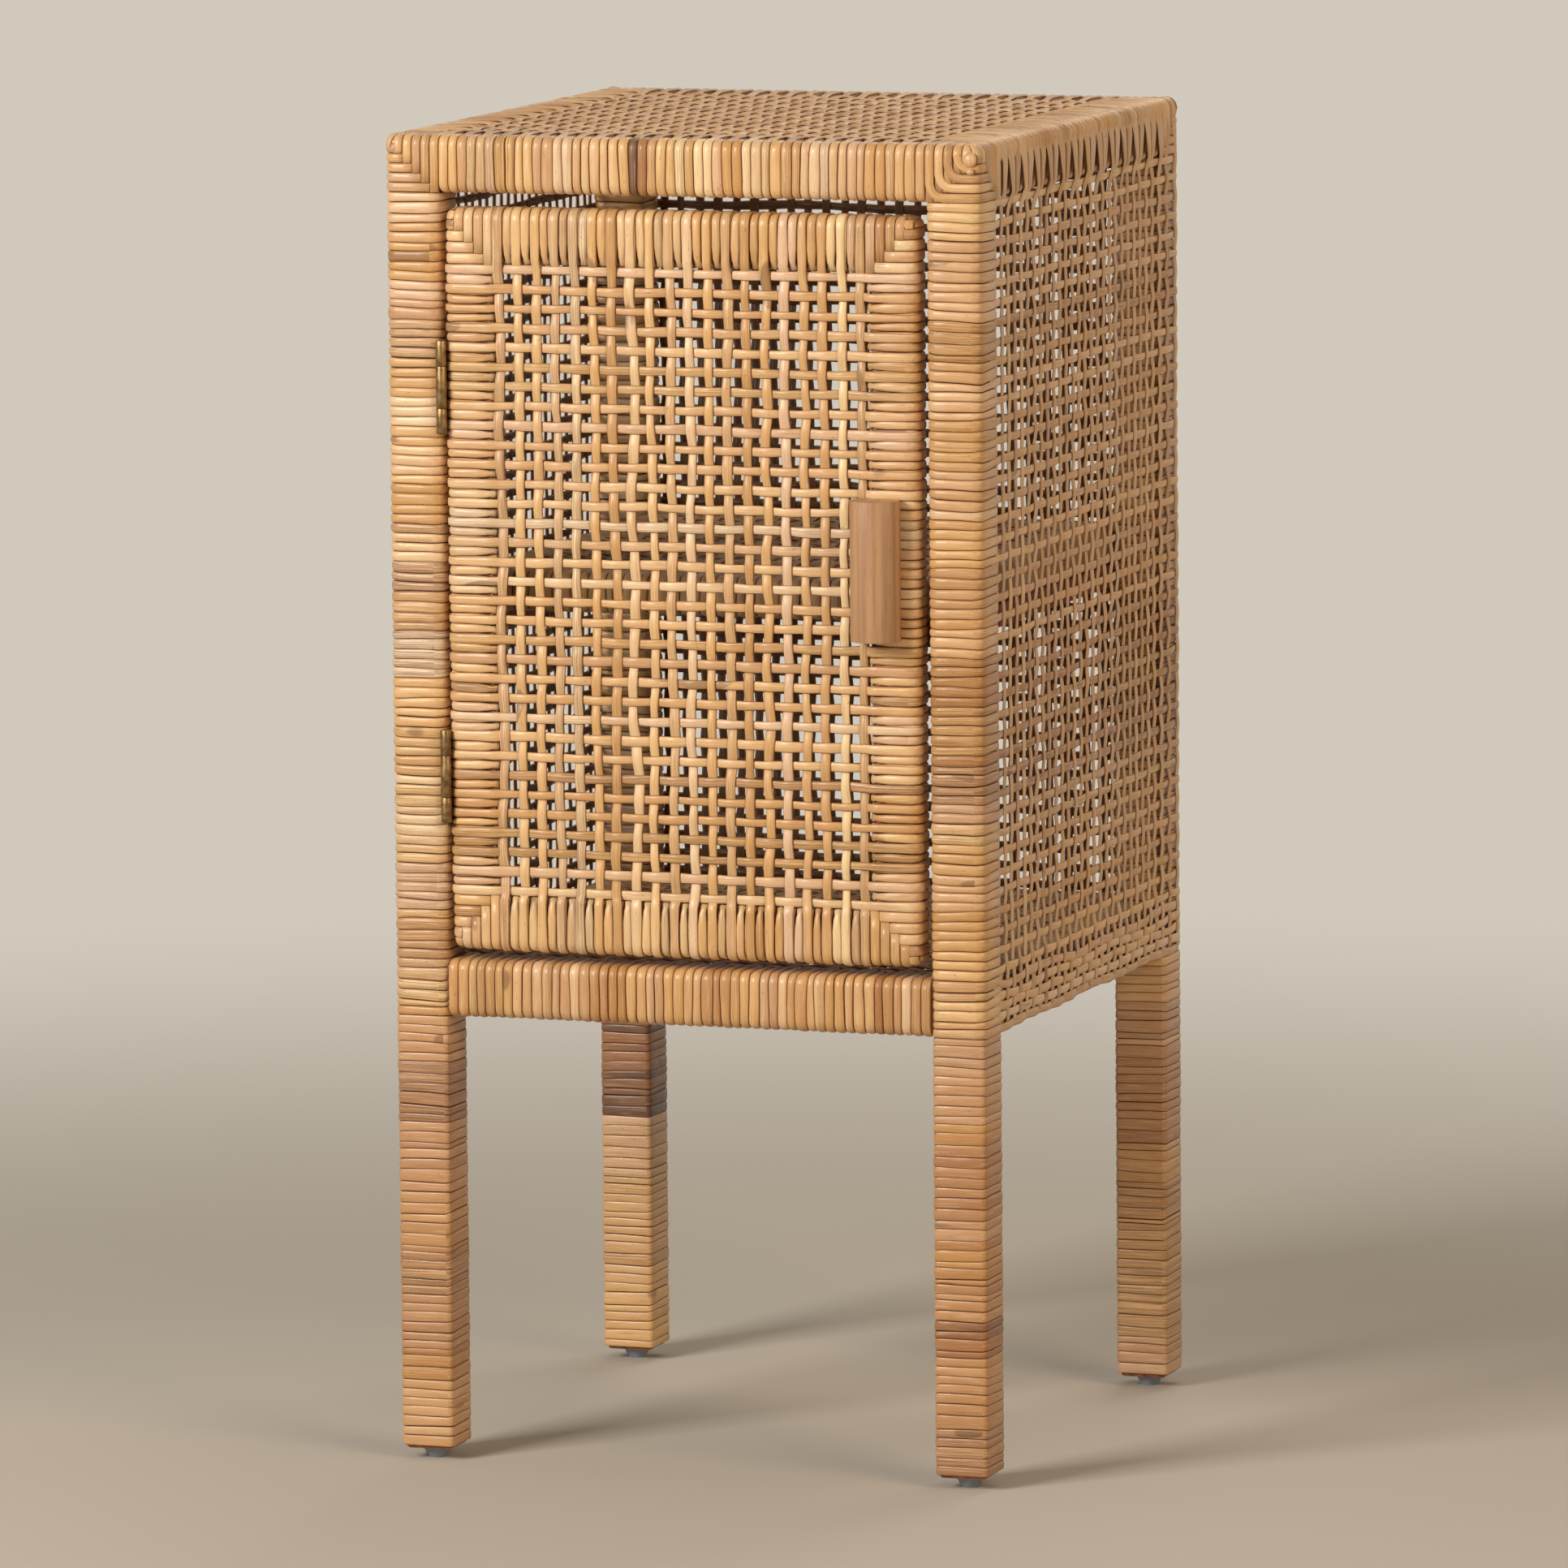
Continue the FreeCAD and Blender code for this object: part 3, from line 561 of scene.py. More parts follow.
for seed, (level, side) in enumerate([(level, side) for level in ("bottom", "top")
                                      for side in ("front", "back", "left", "right")]):
    rail = f"rail_{level}_{side}"
    pile = Cane(300 + seed)
    x, y, z = span(f"{rail}_winding")
    along_x = side in ("front", "back")
    ends, across, column = (x, y, 1) if along_x else (y, x, 0)
    points, out = rim(y, z, between=3) if along_x else rim(z, x, between=3)
    dyes = rail_dyes(level, along_x)
    if rail == "rail_top_front":
        for turn, tone in BROWN_TURNS.items():
            dyes[turn] = (tone,) + dyes[turn][1:]
    edges = pile.edges(np.linspace(*ends, len(dyes) + 1), len(points), 0.25, 0.35)
    outer, inner = across if side in ("front", "left") else across[::-1]
    into = math.copysign(1, inner - outer)
    woven = []
    if level == "top":
        woven.append((nearing(points, column, TOP, outer + into * 6, inner - into * 5),
                      0.6 if along_x else 0.8, DIVE, 0.0 if along_x else PAIR_LEAN))
    if not along_x:
        facing = on_face(points[:, 1], outer)
        if level == "bottom":
            points[facing, 1] += into * SIDE_SINK
        else:
            woven.append((nearing(points, 1, outer, HEAD + HANG, HEAD + 12.0), 0.8, DIVE, PAIR_LEAN))
            points[facing & (points[:, 0] < HEAD + HANG), 1] += into
    pile.wind(0 if along_x else 1, points, out, edges, dyes, woven=woven)
    pile.piece(f"{rail}_cane", "cabinet", "cane", f"{rail}_winding")


# ----------------------------------------
# Woven panels: strands from the rails and posts crossing over and under each
# other with open squares between them, drawn tight and a little uneven.
WOVEN = [(-0.5, -0.05), (-0.41, 0.32), (-0.16, 0.48), (0.16, 0.48), (0.41, 0.32), (0.5, -0.05), (0.0, -0.46)]


def folded(run, height, low, high, radius=ARRIS):
    """Takes a strand round the frame's outer arrises: place and normal in (run, height)."""
    place = np.column_stack([run, height]).astype(float)
    normal = np.tile([0.0, 1.0], (len(run), 1))
    for end, sign in ((low, -1), (high, 1)):
        past = sign * (run - (end - sign * radius))
        turn = np.clip(past / radius, 0, math.pi / 2)
        down = np.maximum(past - radius * math.pi / 2, 0)
        bent = past > 0
        bent_place = np.column_stack([end - sign * radius + sign * np.sin(turn) * (radius + height),
                                      -radius + np.cos(turn) * (radius + height) - down])
        bent_normal = np.column_stack([sign * np.sin(turn), np.cos(turn)])
        place[bent], normal[bent] = bent_place[bent], bent_normal[bent]
    return place, normal


class Weave(Cane):
    """A panel of strands: origin and the directions across, up and out, and each strand's place.

    The strands are this thick, with so many samples to each crossing."""

    def __init__(self, seed, origin, across, up, out, warps, wefts, thick=1.6, samples=4):
        super().__init__(seed)
        self.origin, self.out, self.thick, self.samples = np.array(origin, float), out, thick, samples
        self.sides = {"warp": (up, across), "weft": (across, up)}
        self.at = {"warp": warps, "weft": wefts}

    def strand(self, kind, index, reach, outer, level, width, dye, lean=0.0, wander=0.3,
               shift=np.zeros_like, swing=0.5):
        """One warp or weft over its reach, which folds at the outer arrises.

        level(run, place) gives the middle of the weave, how freely the strand swings there (0 to 1) and its
        breadth.  shift moves it sideways, and swing is how far it bends over and under, in thicknesses."""
        place = self.at[kind][index]
        crossed = self.at["weft" if kind == "warp" else "warp"]
        pitch = np.diff(crossed).mean()
        step = pitch / self.samples
        steps = np.arange(0, len(crossed) - 1 + 1e-6, 1 / self.samples)
        inside = np.interp(steps, np.arange(len(crossed)), crossed)
        before = np.arange(crossed[0] - step, reach[0], -step)[::-1]
        after = np.arange(crossed[-1] + step, reach[1], step)
        inside = inside[(inside > reach[0]) & (inside < reach[1])]
        run = np.concatenate([[reach[0]], before, inside, after, [reach[1]]])
        count = np.interp(run, crossed, np.arange(len(crossed)))
        count = count + np.minimum(run - crossed[0], 0) / pitch + np.maximum(run - crossed[-1], 0) / pitch
        side = (1 if kind == "warp" else -1) * (-1) ** index
        wave = side * np.cos(math.pi * count)
        middle, share, breadth = level(run, place)
        height = middle + swing * self.thick * share * wave
        drift = self.random.standard_normal(3) * wander
        length = run - run[0]
        phase = self.random.random(3) * 2 * math.pi
        offset = sum(d * np.sin(length / period + p) for d, period, p in zip(drift, (9.0, 17.0, 40.0), phase))
        zigzag = np.arcsin(np.clip(wave, -1, 1)) * 2 / math.pi
        offset = (offset + lean * zigzag) * np.clip(share, 0, 1) + shift(run)
        swell = 1 + 0.07 * np.sin(length / 13.0 + phase[1]) + 0.05 * np.sin(length / 5.0 + phase[0])
        spot, normal = folded(run, height, *outer)
        along, sideways = self.sides[kind]
        path = self.origin + spot[:, :1] * along + spot[:, 1:] * self.out
        path = path + (place + offset)[:, None] * sideways
        out = normal[:, :1] * along + normal[:, 1:] * self.out
        self.lay(path, out, width * breadth * swell, dye, height=self.thick, section=WOVEN)


def set_in(low, high, deep, proud):
    """The level of a weave that dips between two rails and lies on them at its ends."""
    def level(run, place):
        inside = np.minimum(run - low, high - run)
        share = smooth((inside + 2.5) / 5.0)
        return proud + (deep - proud) * share, share, np.ones(len(run))
    return level


def evenly(low, high, strands):
    return np.linspace(low + STRAND / 2, high - STRAND / 2, strands)


INSIDE_X = span("rail_top_front_winding")[0]
INSIDE_Y = span("rail_top_left_winding")[1]
WIDTH_X = (span("post_front_left_winding")[0][0], span("post_front_right_winding")[0][1])
DEPTH_Y = (span("post_front_left_winding")[1][0], span("post_back_left_winding")[1][1])
INSIDE_Z = (FLOOR_LEVEL, HEAD)
WEAVE_DEPTH = -2.3  # of its middle, from the face of the frame
TUCK = 9.0  # how far a strand's end runs under the turns of the frame
FAR = 200.0  # past every arris, for strands that fold over none


def flat_panel(name, seed, origin, up, out, u, v, warps, wefts, replaced):
    weave = Weave(seed, origin, X, up, out, evenly(*u, warps), evenly(*v, wefts), samples=3)
    for kind, reach in (("warp", v), ("weft", u)):
        for index in range(len(weave.at[kind])):
            width = STRAND * (0.88 + 0.12 * weave.random.random())
            # The panels' strands take a lower tone than the rest of the cane, as painted shade for the
            # cabinet's inside.
            weave.strand(kind, index, grown(reach, TUCK), grown(reach, FAR),
                         set_in(*reach, WEAVE_DEPTH, -0.6), width, weave.dye(0.5))
    weave.piece(name, "cabinet", "woven_cane", replaced)


flat_panel("floor_weave", 410, (0, 0, FLOOR_LEVEL), Y, Z, INSIDE_X, INSIDE_Y, WARPS_X, WARPS_Y, "floor_panel")
flat_panel("back_weave", 411, (0, DEPTH_Y[1], 0), Z, Y, INSIDE_X, INSIDE_Z, WARPS_X, WEFTS, "back_panel")

# The top's strands run on over the rails and sink into their turns, those of the
# side rails leaning in pairs.
RUN_ON = 26.0


def over_rails(low, high, wider):
    """The level of the top weave; past the opening its strands grow wider by this share of their width."""
    def level(run, place):
        past = np.maximum(run - high, low - run)
        share = smooth((2.0 - past) / 5.0)
        middle = (WEAVE_DEPTH + 0.9) * share - 1.4 * smooth((past - 16.0) / (RUN_ON - 16.0))
        return middle, share, 1 + wider * np.clip((past - 3.0) / (HANG - 4.0), 0, 1)
    return level


def paired(index):
    """Draws neighbours together by the rail's arris, and apart again as they grow wider."""
    def shift(run):
        past = np.maximum(run - INSIDE_X[1], INSIDE_X[0] - run)
        lean = PAIR_LEAN * (-1) ** index * smooth((past + 10.0) / 10.0)
        return lean * (1 - np.clip((past - 2.0) / (HANG - 4.0), 0, 1))
    return shift


def top_shade_and_ribs(dye):
    """The top is darker and browner than the rest, painted shade for the weaker light it takes, and it is
    more ribbed.
    """
    return (dye[0] - 0.11, 0.6 * dye[1], 0.4 + 0.6 * dye[2], dye[3])


top_weave = Weave(412, (0, 0, TOP), X, Y, Z, evenly(*INSIDE_X, WARPS_X), evenly(*INSIDE_Y, WARPS_Y))
for kind, reach, wider in (("warp", INSIDE_Y, 0.12), ("weft", INSIDE_X, RIBBON)):
    for index, dye in enumerate(rail_dyes("top", kind == "warp")[::2]):
        shift = np.zeros_like if kind == "warp" else paired(index)
        top_weave.strand(kind, index, grown(reach, RUN_ON), grown(reach, FAR), over_rails(*reach, wider),
                         STRAND * 0.96, top_shade_and_ribs(dye), shift=shift)
top_weave.piece("top_weave", "cabinet", "woven_cane", "top_panel")

# The sides are woven of thinner strands over the back post and the bottom rail too,
# with a close border at the bottom.  The upright ones zigzag, and the others bend.
BORDER_WEFTS = 5


def side_level(y, z):
    """The middle of a side's weave, which lies on the frame and sinks a little inside the opening."""
    inside = np.minimum(np.minimum(y - INSIDE_Y[0] + 6.0, INSIDE_Y[1] - y),
                        np.minimum(z - INSIDE_Z[0], INSIDE_Z[1] + 6.0 - z))
    return -0.85 - 1.0 * smooth((inside + 1.0) / 9.0)


def side_warp(run, place):
    hanging = smooth((run - (HEAD - 3.0)) / 7.0)
    middle = side_level(place, run) * (1 - hanging) - 0.4 * hanging - smooth((run - (HEAD + 16.0)) / 9.0)
    hem = smooth((UNDERSIDE + 3.0 - run) / 4.0)
    close = smooth((INSIDE_Z[0] + 4.0 - run) / 6.0)
    middle = middle - 0.8 * (place < INSIDE_Y[0])  # the first lies behind all the wefts
    share = (1 - hanging) * (1 - 0.8 * hem) * (1 - 0.35 * close)
    return middle, share, 1 + RIBBON * np.clip((run - HEAD - 3.0) / (HANG - 4.0), 0, 1) + 0.3 * hem


def side_weft(run, place):
    start = smooth((INSIDE_Y[0] - 3.0 - run) / 5.0)
    return side_level(run, place) * (1 - start) - 1.0 * start, 1 - start, 1 + 0.1 * start


def hung_from(index):
    """Takes a strand to its gap in the turns of the top rail, leaning to its neighbour."""
    away = hung[index] + PAIR_LEAN * (-1) ** index - warps[index] if index < len(hung) else 0.0

    def shift(run):
        apart = PAIR_LEAN * (-1) ** index * np.clip((run - HEAD - 2.0) / (HANG - 4.0), 0, 1)
        return away * smooth((run - HEAD + 8.0) / 9.0) - apart
    return shift


hung = evenly(*INSIDE_Y, WARPS_Y)
warps = np.concatenate([np.linspace(INSIDE_Y[0] - 1.5, hung[-1], WARPS_Y),
                        [INSIDE_Y[1] + 10.0, DEPTH_Y[1] - 6.0]])  # the last two over the back post
border = UNDERSIDE + 3.0 + (POST - 3.0) / BORDER_WEFTS * np.arange(BORDER_WEFTS)
wefts = np.concatenate([border, evenly(*INSIDE_Z, WEFTS)])
hung_dyes = rail_dyes("top", False)[::2]
for seed, (name, sign) in enumerate((("left", -1), ("right", 1))):
    weave = Weave(420 + seed, (WIDTH_X[seed], 0, 0), Y, Z, X * sign, warps, wefts, thick=1.1)
    random, dyes = weave.random, post_dyes(name)[::2]
    for index in range(len(warps)):
        lean = (0.6 + 0.5 * random.standard_normal()) * (0.45 + 0.55 * smooth(index / 9))
        own = weave.dye(0.58, 0.45)
        tone = 0.5 * (own[0] + hung_dyes[min(index, WARPS_Y - 1)][0])
        weave.strand("warp", index, (UNDERSIDE - 6.0, HEAD + 25.0), (UNDERSIDE, TOP + FAR), side_warp,
                     5.0 + 0.6 * random.random(), (tone, own[1], 0.4 + 0.6 * own[2], own[3]), lean,
                     shift=hung_from(index), swing=0.2 * (index > 0))
    for index in range(len(wefts)):
        if index < BORDER_WEFTS:
            dye, wander = weave.dye(0.6, 0.35), 0.45
            width = POST / BORDER_WEFTS * (0.78 + 0.14 * random.random())
        else:
            dye, wander = dyes[index - BORDER_WEFTS], 0.2
            width = 4.2 + 0.5 * random.random()
        weave.strand("weft", index, (INSIDE_Y[0] - 14.0, DEPTH_Y[1] + 8.0), (DEPTH_Y[0] - FAR, DEPTH_Y[1]),
                     side_weft, width, dye, wander=wander, swing=0.55)
    weave.piece(f"side_weave_{name}", "cabinet", "woven_cane", f"side_panel_{name}")


# ----------------------------------------
# Shelf: four thin members wound with cane and a woven panel between them,
# lying loose on the two bearers.
shelf_x, shelf_y, shelf_z = span("shelf_windings")
MEMBER = shelf_z[1] - shelf_z[0]
shelf_in_x, shelf_in_y = grown(shelf_x, -MEMBER), grown(shelf_y, -MEMBER)
pile = Cane(500)
# Two members run the whole length along X, and two between them along Y.
for axis, ends, turns, lows in ((0, shelf_x, 51, (shelf_y[0], shelf_in_y[1])),
                                (1, shelf_in_y, 52, (shelf_x[0], shelf_in_x[1]))):
    for low in lows:
        member = (low, low + MEMBER)
        points, out = rim(shelf_z, member) if axis else rim(member, shelf_z)
        edges = pile.edges(pile.places(*ends, turns), len(points))
        pile.wind(axis, points, out, edges, pile.dyes(turns))
pile.piece("shelf_cane", "cabinet", "cane", "shelf_windings")
flat_panel("shelf_weave", 501, (0, 0, shelf_z[1]), Y, Z, shelf_in_x, shelf_in_y, 22, 26, "shelf_panel")


# ----------------------------------------
# Door: two stiles and two rails wound with cane, mitred turn by turn at the
# corners, and woven with strands that lie over the frame to its outer edge.
door_x = (span("door_stile_hinge_winding")[0][0], span("door_stile_pull_winding")[0][1])
door_y, door_z = span("door_stile_hinge_winding")[1:]
door_in_x = span("door_rail_top_winding")[0]
door_in_z = (span("door_rail_bottom_winding")[2][1], span("door_rail_top_winding")[2][0])
DOOR_WARPS, DOOR_WEFTS = 20, 33
door_dyes = {"warp": row_dyes(61, DOOR_WARPS, 2), "weft": row_dyes(60, DOOR_WEFTS, 4)}
DOOR_CORNER_STRANDS = 5
DOOR_EASE = 6.0  # radius of its corners


def door_corner(side, end, seed):
    """Strands of rail and stile that meet on the mitre, each over the door's edge to its back.

    The side is 0 by the hinges and 1 by the pull, and the end is 0 at the bottom and 1 at the top."""
    pile = Cane(seed)
    inward = np.array([1 - 2 * side, 1, 1 - 2 * end])
    in_x, _, in_z = AXES * inward[:, None]
    near, far = (np.array([door_x[side], y, door_z[end]]) for y in door_y)
    size_x, size_z = abs(door_in_x[0] - door_x[0]), abs(door_in_z[0] - door_z[0])
    for strand in range(DOOR_CORNER_STRANDS):
        share, half = (strand + 0.5) / DOOR_CORNER_STRANDS, 0.5 / DOOR_CORNER_STRANDS
        for start, down, size, length in ((in_x * size_x * share, in_z, size_x, size_z * (share + half)),
                                          (in_z * size_z * share, in_x, size_z, size_x * (share - half))):
            down = down * max(length, SHORTEST)
            path, out = trail([near + start + down, near + start, far + start, far + start + down], -Y,
                              [(ARRIS, True)] * 2)
            pile.lay(path, out, size / DOOR_CORNER_STRANDS - CORNER_GAP, pile.dye(),
                     CORNER_LIFT * pile.random.random())
    for forward, tip in ((1, near), (-1, far)):
        pile.points = [ease(points, tip, inward * (1, forward, 1), DOOR_EASE, turn < 2)
                       for turn, points in enumerate(pile.points)]
    return pile


# The odd turns of stiles and rails end short of the woven opening on both faces.
for name, seed, inner, into in (("stile_hinge", 600, door_in_x[0], 1), ("stile_pull", 601, door_in_x[1], -1),
                                ("rail_bottom", 620, door_in_z[0], 1), ("rail_top", 621, door_in_z[1], -1)):
    pile = Cane(seed)
    x, _, z = span(f"door_{name}_winding")
    if name.startswith("stile"):
        axis, column, ends, dyes = 2, 1, door_in_z, door_dyes["weft"]
        points, out = rim(x, door_y)
    else:
        axis, column, ends, dyes = 0, 0, door_in_x, door_dyes["warp"]
        points, out = rim(door_y, z)
    woven = [(nearing(points, column, plane, inner - into * 11.0, inner - into), 0.35, 1.3, 0.0)
             for plane in door_y]
    edges = pile.edges(np.linspace(*ends, len(dyes) + 1), len(points), 0.25, 0.35)
    pile.wind(axis, points, out, edges, dyes, woven=woven)
    if axis == 2:
        pile.add(door_corner(seed - 600, 0, seed + 10))
        pile.add(door_corner(seed - 600, 1, seed + 12))
    pile.piece(f"door_{name}_cane", "door", "cane", f"door_{name}_winding")

door_weave = Weave(630, (0, door_y[0], 0), X, Z, -Y, evenly(*door_in_x, DOOR_WARPS),
                   evenly(*door_in_z, DOOR_WEFTS), thick=1.7)
for kind, reach, inside, wide, uneven, wander in (("warp", door_z, door_in_z, 1.03, 0.06, 0.42),
                                                  ("weft", door_x, door_in_x, 0.96, 0.04, 0.18)):
    for index, dye in enumerate(door_dyes[kind][::2]):
        width = STRAND * (wide + uneven * door_weave.random.standard_normal())
        door_weave.strand(kind, index, grown(reach, 6.0), reach, set_in(*inside, WEAVE_DEPTH, 0.05),
                          width, dye, wander=wander)
door_weave.piece("door_weave", "door", "woven_cane", "door_panel")


# ----------------------------------------
# Pull: a length of turned hardwood, planed flat where it lies on the door,
# sanded and sealed.
def pull_looks(wire):
    x, y, z = wire.where().parts()
    sway = wire.at(x * 30.0, y * 30.0, z * 12.0).noise() * 0.6
    grain = wire.at(x * 260.0 + sway, y * 260.0, z * 8.0).noise(1.0, 4.0)
    pores = wire.at(x * 1500.0, y * 1500.0, z * 90.0).noise().above(0.6, 0.72)
    colour = grain.above(0.3, 0.7).mixed(paint("#A37653"), paint("#BD946E"))
    colour = (pores * 0.4).mixed(colour, paint("#7F5330"))
    return {"Base_Color": colour, "Roughness": 0.44 + 0.15 * pores, "Normal": grain.bumped(0.0002)}


def worn(piece, width, segments, smooth_to):
    """Puts a piece's place in its mesh, rounds its edges and shades it smooth, up to an angle in degrees."""
    bpy.ops.object.transform_apply(location=True, rotation=True, scale=True)
    bevel = piece.modifiers.new("worn", "BEVEL")
    bevel.width, bevel.segments = width, segments
    bevel.limit_method, bevel.angle_limit = "ANGLE", math.radians(50)
    bpy.ops.object.modifier_apply(modifier=bevel.name)
    bpy.ops.object.shade_smooth_by_angle(angle=math.radians(smooth_to))
    piece.select_set(False)


PULL_RADIUS = 0.0135
low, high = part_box("pull")
middle = (low + high) / 2
bpy.ops.object.select_all(action="DESELECT")
bpy.ops.mesh.primitive_cylinder_add(vertices=64, radius=PULL_RADIUS, depth=high.z - low.z, calc_uvs=False,
                                    location=(middle.x, low.y + PULL_RADIUS, middle.z))
pull = bpy.context.object
pull.name = "pull_dowel"
bpy.ops.object.mode_set(mode="EDIT")
bpy.ops.mesh.select_all(action="SELECT")
bpy.ops.mesh.bisect(plane_co=(0, high.y, 0), plane_no=(0, 1, 0), use_fill=True, clear_outer=True)
bpy.ops.object.mode_set(mode="OBJECT")
worn(pull, 0.0009, 3, 40)
pull.data.materials.append(material("pull_wood", pull_looks, Coat_Weight=0.1, Coat_Roughness=0.35))
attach(pull, "door")
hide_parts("pull")


# ----------------------------------------
# Hinges: two brass butt hinges, dulled with age.  Knuckles rolled from the
# leaves turn on a pin, and screws hold the leaves to post and door.
def brass_looks(wire):
    stain = wire.where().noise(260.0, 4.0)
    rub = wire.where().noise(900.0)
    colour = stain.above(0.35, 0.65).mixed(paint("#745B3D"), paint("#9C7F57"))
    return {"Base_Color": colour, "Roughness": 0.31 + 0.2 * stain, "Normal": rub.bumped(0.00005)}


brass = material("aged_brass", brass_looks, Metallic=1.0)
dress("hinge_brass", brass)
KNUCKLE_RADIUS, MIDDLE_KNUCKLE, KNUCKLE_GAP = 0.0029, 0.023, 0.0003
LEAF_THICKNESS, LEAF_CUT_BACK = 0.001, 0.0005  # a leaf is kept off the other leaf's knuckles
leaf_faces = {"frame": (span("post_front_left_winding")[0][1] * MM, LEAF_THICKNESS, "cabinet"),
              "door": (door_x[0] * MM, -LEAF_THICKNESS, "door")}
for level in ("lower", "upper"):
    for side, (face, thickness, body) in leaf_faces.items():
        low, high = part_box(f"hinge_{level}_{side}_leaf")
        pin_x, pin_y = (low.x + high.x) / 2, low.y + KNUCKLE_RADIUS
        middle, core = (low.z + high.z) / 2, MIDDLE_KNUCKLE / 2
        own = [(low.z, middle - core), (middle + core, high.z)]
        if side == "door":
            own = [(middle - core + KNUCKLE_GAP, middle + core - KNUCKLE_GAP)]
        cut = pin_y + KNUCKLE_RADIUS + LEAF_CUT_BACK
        leaves = []
        plates = [((cut, high.y), (low.z, high.z))] + [((pin_y, cut), knuckle) for knuckle in own]
        for (y_low, y_high), (z_low, z_high) in plates:
            bpy.ops.mesh.primitive_cube_add(
                size=1.0, scale=(abs(thickness), y_high - y_low, z_high - z_low), calc_uvs=False,
                location=(face + thickness / 2, (y_low + y_high) / 2, (z_low + z_high) / 2))
            leaves.append(bpy.context.object)
        for z_low, z_high in own:
            bpy.ops.mesh.primitive_cylinder_add(
                vertices=40, radius=KNUCKLE_RADIUS, depth=z_high - z_low, calc_uvs=False,
                location=(pin_x, pin_y, (z_low + z_high) / 2))
            leaves.append(bpy.context.object)
        for part in leaves:
            part.select_set(True)
        bpy.ops.object.join()
        leaf = bpy.context.object
        leaf.name = f"hinge_{level}_{side}_brass"
        worn(leaf, 0.00022, 2, 30)
        leaf.data.materials.append(brass)
        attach(leaf, body)
        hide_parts(f"hinge_{level}_{side}_leaf")


# ----------------------------------------
# Catch under the shelf: a moulded brown body with a magnet, and a steel
# strike plate on the back of the door.
def steel_looks(wire):
    wear = wire.where().noise(420.0, 3.0)
    return {"Base_Color": wear.mixed(paint("#8E9092"), paint("#B4B6B7")), "Roughness": 0.3 + 0.2 * wear}


def moulded(first, second):
    def looks(wire):
        cloud = wire.where().noise(90.0, 3.0)
        return {"Base_Color": cloud.mixed(paint(first), paint(second)), "Roughness": 0.45 + 0.2 * cloud,
                "Normal": wire.where().noise(1900.0).bumped(0.00004)}
    return looks


dress("steel", material("zinc_plated_steel", steel_looks, Metallic=1.0))
dress("catch_plastic", material("brown_plastic", moulded("#6B4A2E", "#7E5A3A")))
dress("magnet", material("ferrite", moulded("#2B2B2D", "#3C3C3E")))


# ----------------------------------------
# Glides: grey-blue plastic buttons nailed up into the ends of the legs.
dress("glide_plastic", material("glide_plastic", moulded("#8792A0", "#98A2AF")))


# ----------------------------------------
# Room: a plain pale floor that fades into a plain pale background, soft lamps at
# the front left, the right and above, and a camera a little above and to the right.
BACKDROP = paint("#D1C9BC")
FADES_FROM, FADES_TO = 0.5, 2.1  # distance from the table at which the floor fades


def shows_room(wire):
    """1 for the rays that show the room, from the camera, off gloss or through glass, and 0 for others."""
    camera_ray, glossy_ray, glass_ray = (wire.node("LightPath", output=f"Is {kind} Ray")
                                         for kind in ("Camera", "Glossy", "Transmission"))
    return wire.maths("MAXIMUM", wire.maths("MAXIMUM", camera_ray, glossy_ray), glass_ray)


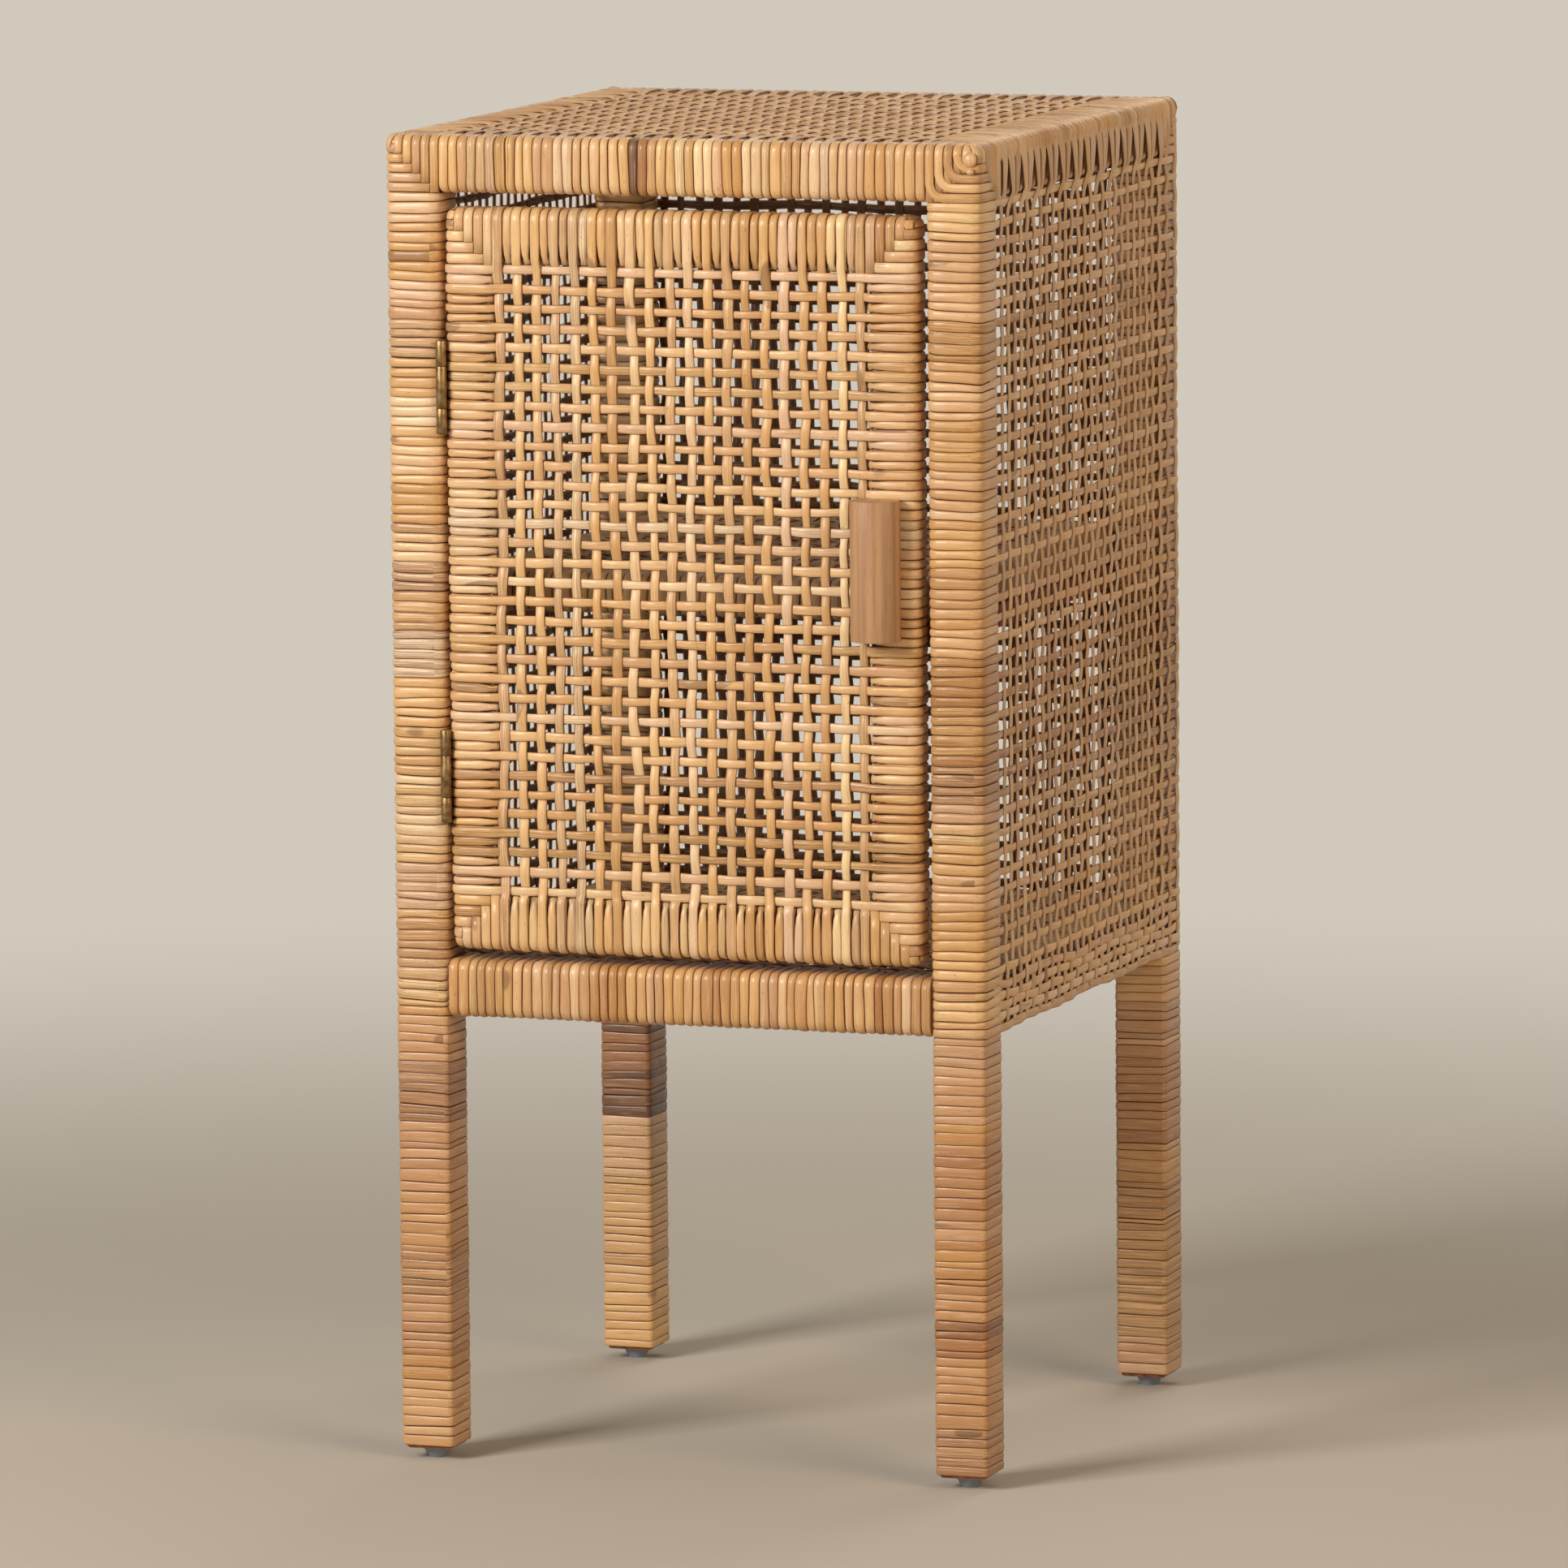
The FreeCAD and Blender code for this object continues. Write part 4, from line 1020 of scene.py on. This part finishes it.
bpy.ops.object.select_all(action="DESELECT")
bpy.ops.mesh.primitive_circle_add(vertices=96, radius=12.0, fill_type="NGON")
floor = bpy.context.object
floor.name = "floor"
floor_paint = bpy.data.materials.new("floor")
wire = wired(floor_paint)
ground = wire.node("BsdfPrincipled", Roughness=0.85,
                   Base_Color=wire.where().noise(2.0).mixed(paint("#C0B8AC"), paint("#C4BCB1")))
away = wire.node("VectorMath", {"operation": "LENGTH"}, output=1, i0=wire.where())
fade = away.above(FADES_FROM, FADES_TO) * shows_room(wire)
glow = wire.node("Emission", Color=BACKDROP, Strength=1.0)
wire.node("OutputMaterial", Surface=wire.node("MixShader", i0=fade, i1=ground, i2=glow))
floor.data.materials.append(floor_paint)
floor.select_set(False)


def lamp(name, where, towards, size, watts, colour):
    light = bpy.data.lights.new(name, "AREA")
    light.shape, light.size, light.energy, light.color = "SQUARE", size, watts, colour
    made = bpy.data.objects.new(name, light)
    made.location = where
    made.rotation_euler = (Vector(towards) - Vector(where)).to_track_quat("-Z", "Y").to_euler()
    bpy.context.scene.collection.objects.link(made)


lamp("window", (-1.3, -2.3, 1.6), (0, 0, 0.5), 1.0, 71.0, (1.0, 0.96, 0.89))
lamp("bounce", (2.5, -1.4, 1.7), (0, 0, 0.6), 1.4, 34.0, (1.0, 0.79, 0.52))
lamp("ceiling", (0.3, 1.8, 2.4), (0, 0, 0.5), 1.6, 18.0, (1.0, 0.94, 0.86))

world = bpy.data.worlds.new("room")
wire = wired(world)
air = shows_room(wire).mixed((0.14, 0.13, 0.118, 1.0), BACKDROP)
wire.node("OutputWorld", Surface=wire.node("Background", Color=air, Strength=1.0))
bpy.context.scene.world = world
bpy.context.scene.view_settings.view_transform = "Standard"

EYE = Vector((2.1890, -6.2231, 1.2253))
YAW, PITCH, ROLL = math.radians(-19.395), math.radians(7.52), math.radians(-0.5)
LENS = 279.5
look = Vector((math.sin(YAW) * math.cos(PITCH), math.cos(YAW) * math.cos(PITCH), -math.sin(PITCH)))
level_right = Vector((math.cos(YAW), -math.sin(YAW), 0))
level_up = level_right.cross(look)
right = math.cos(ROLL) * level_right + math.sin(ROLL) * level_up
upward = -math.sin(ROLL) * level_right + math.cos(ROLL) * level_up
camera_data = bpy.data.cameras.new("camera")
camera_data.lens, camera_data.sensor_width = LENS, 36.0
camera_data.clip_end = 50.0
camera = bpy.data.objects.new("camera", camera_data)
camera.matrix_world = Matrix((right, upward, -look)).transposed().to_4x4()
camera.location = EYE
bpy.context.scene.collection.objects.link(camera)
bpy.context.scene.camera = camera
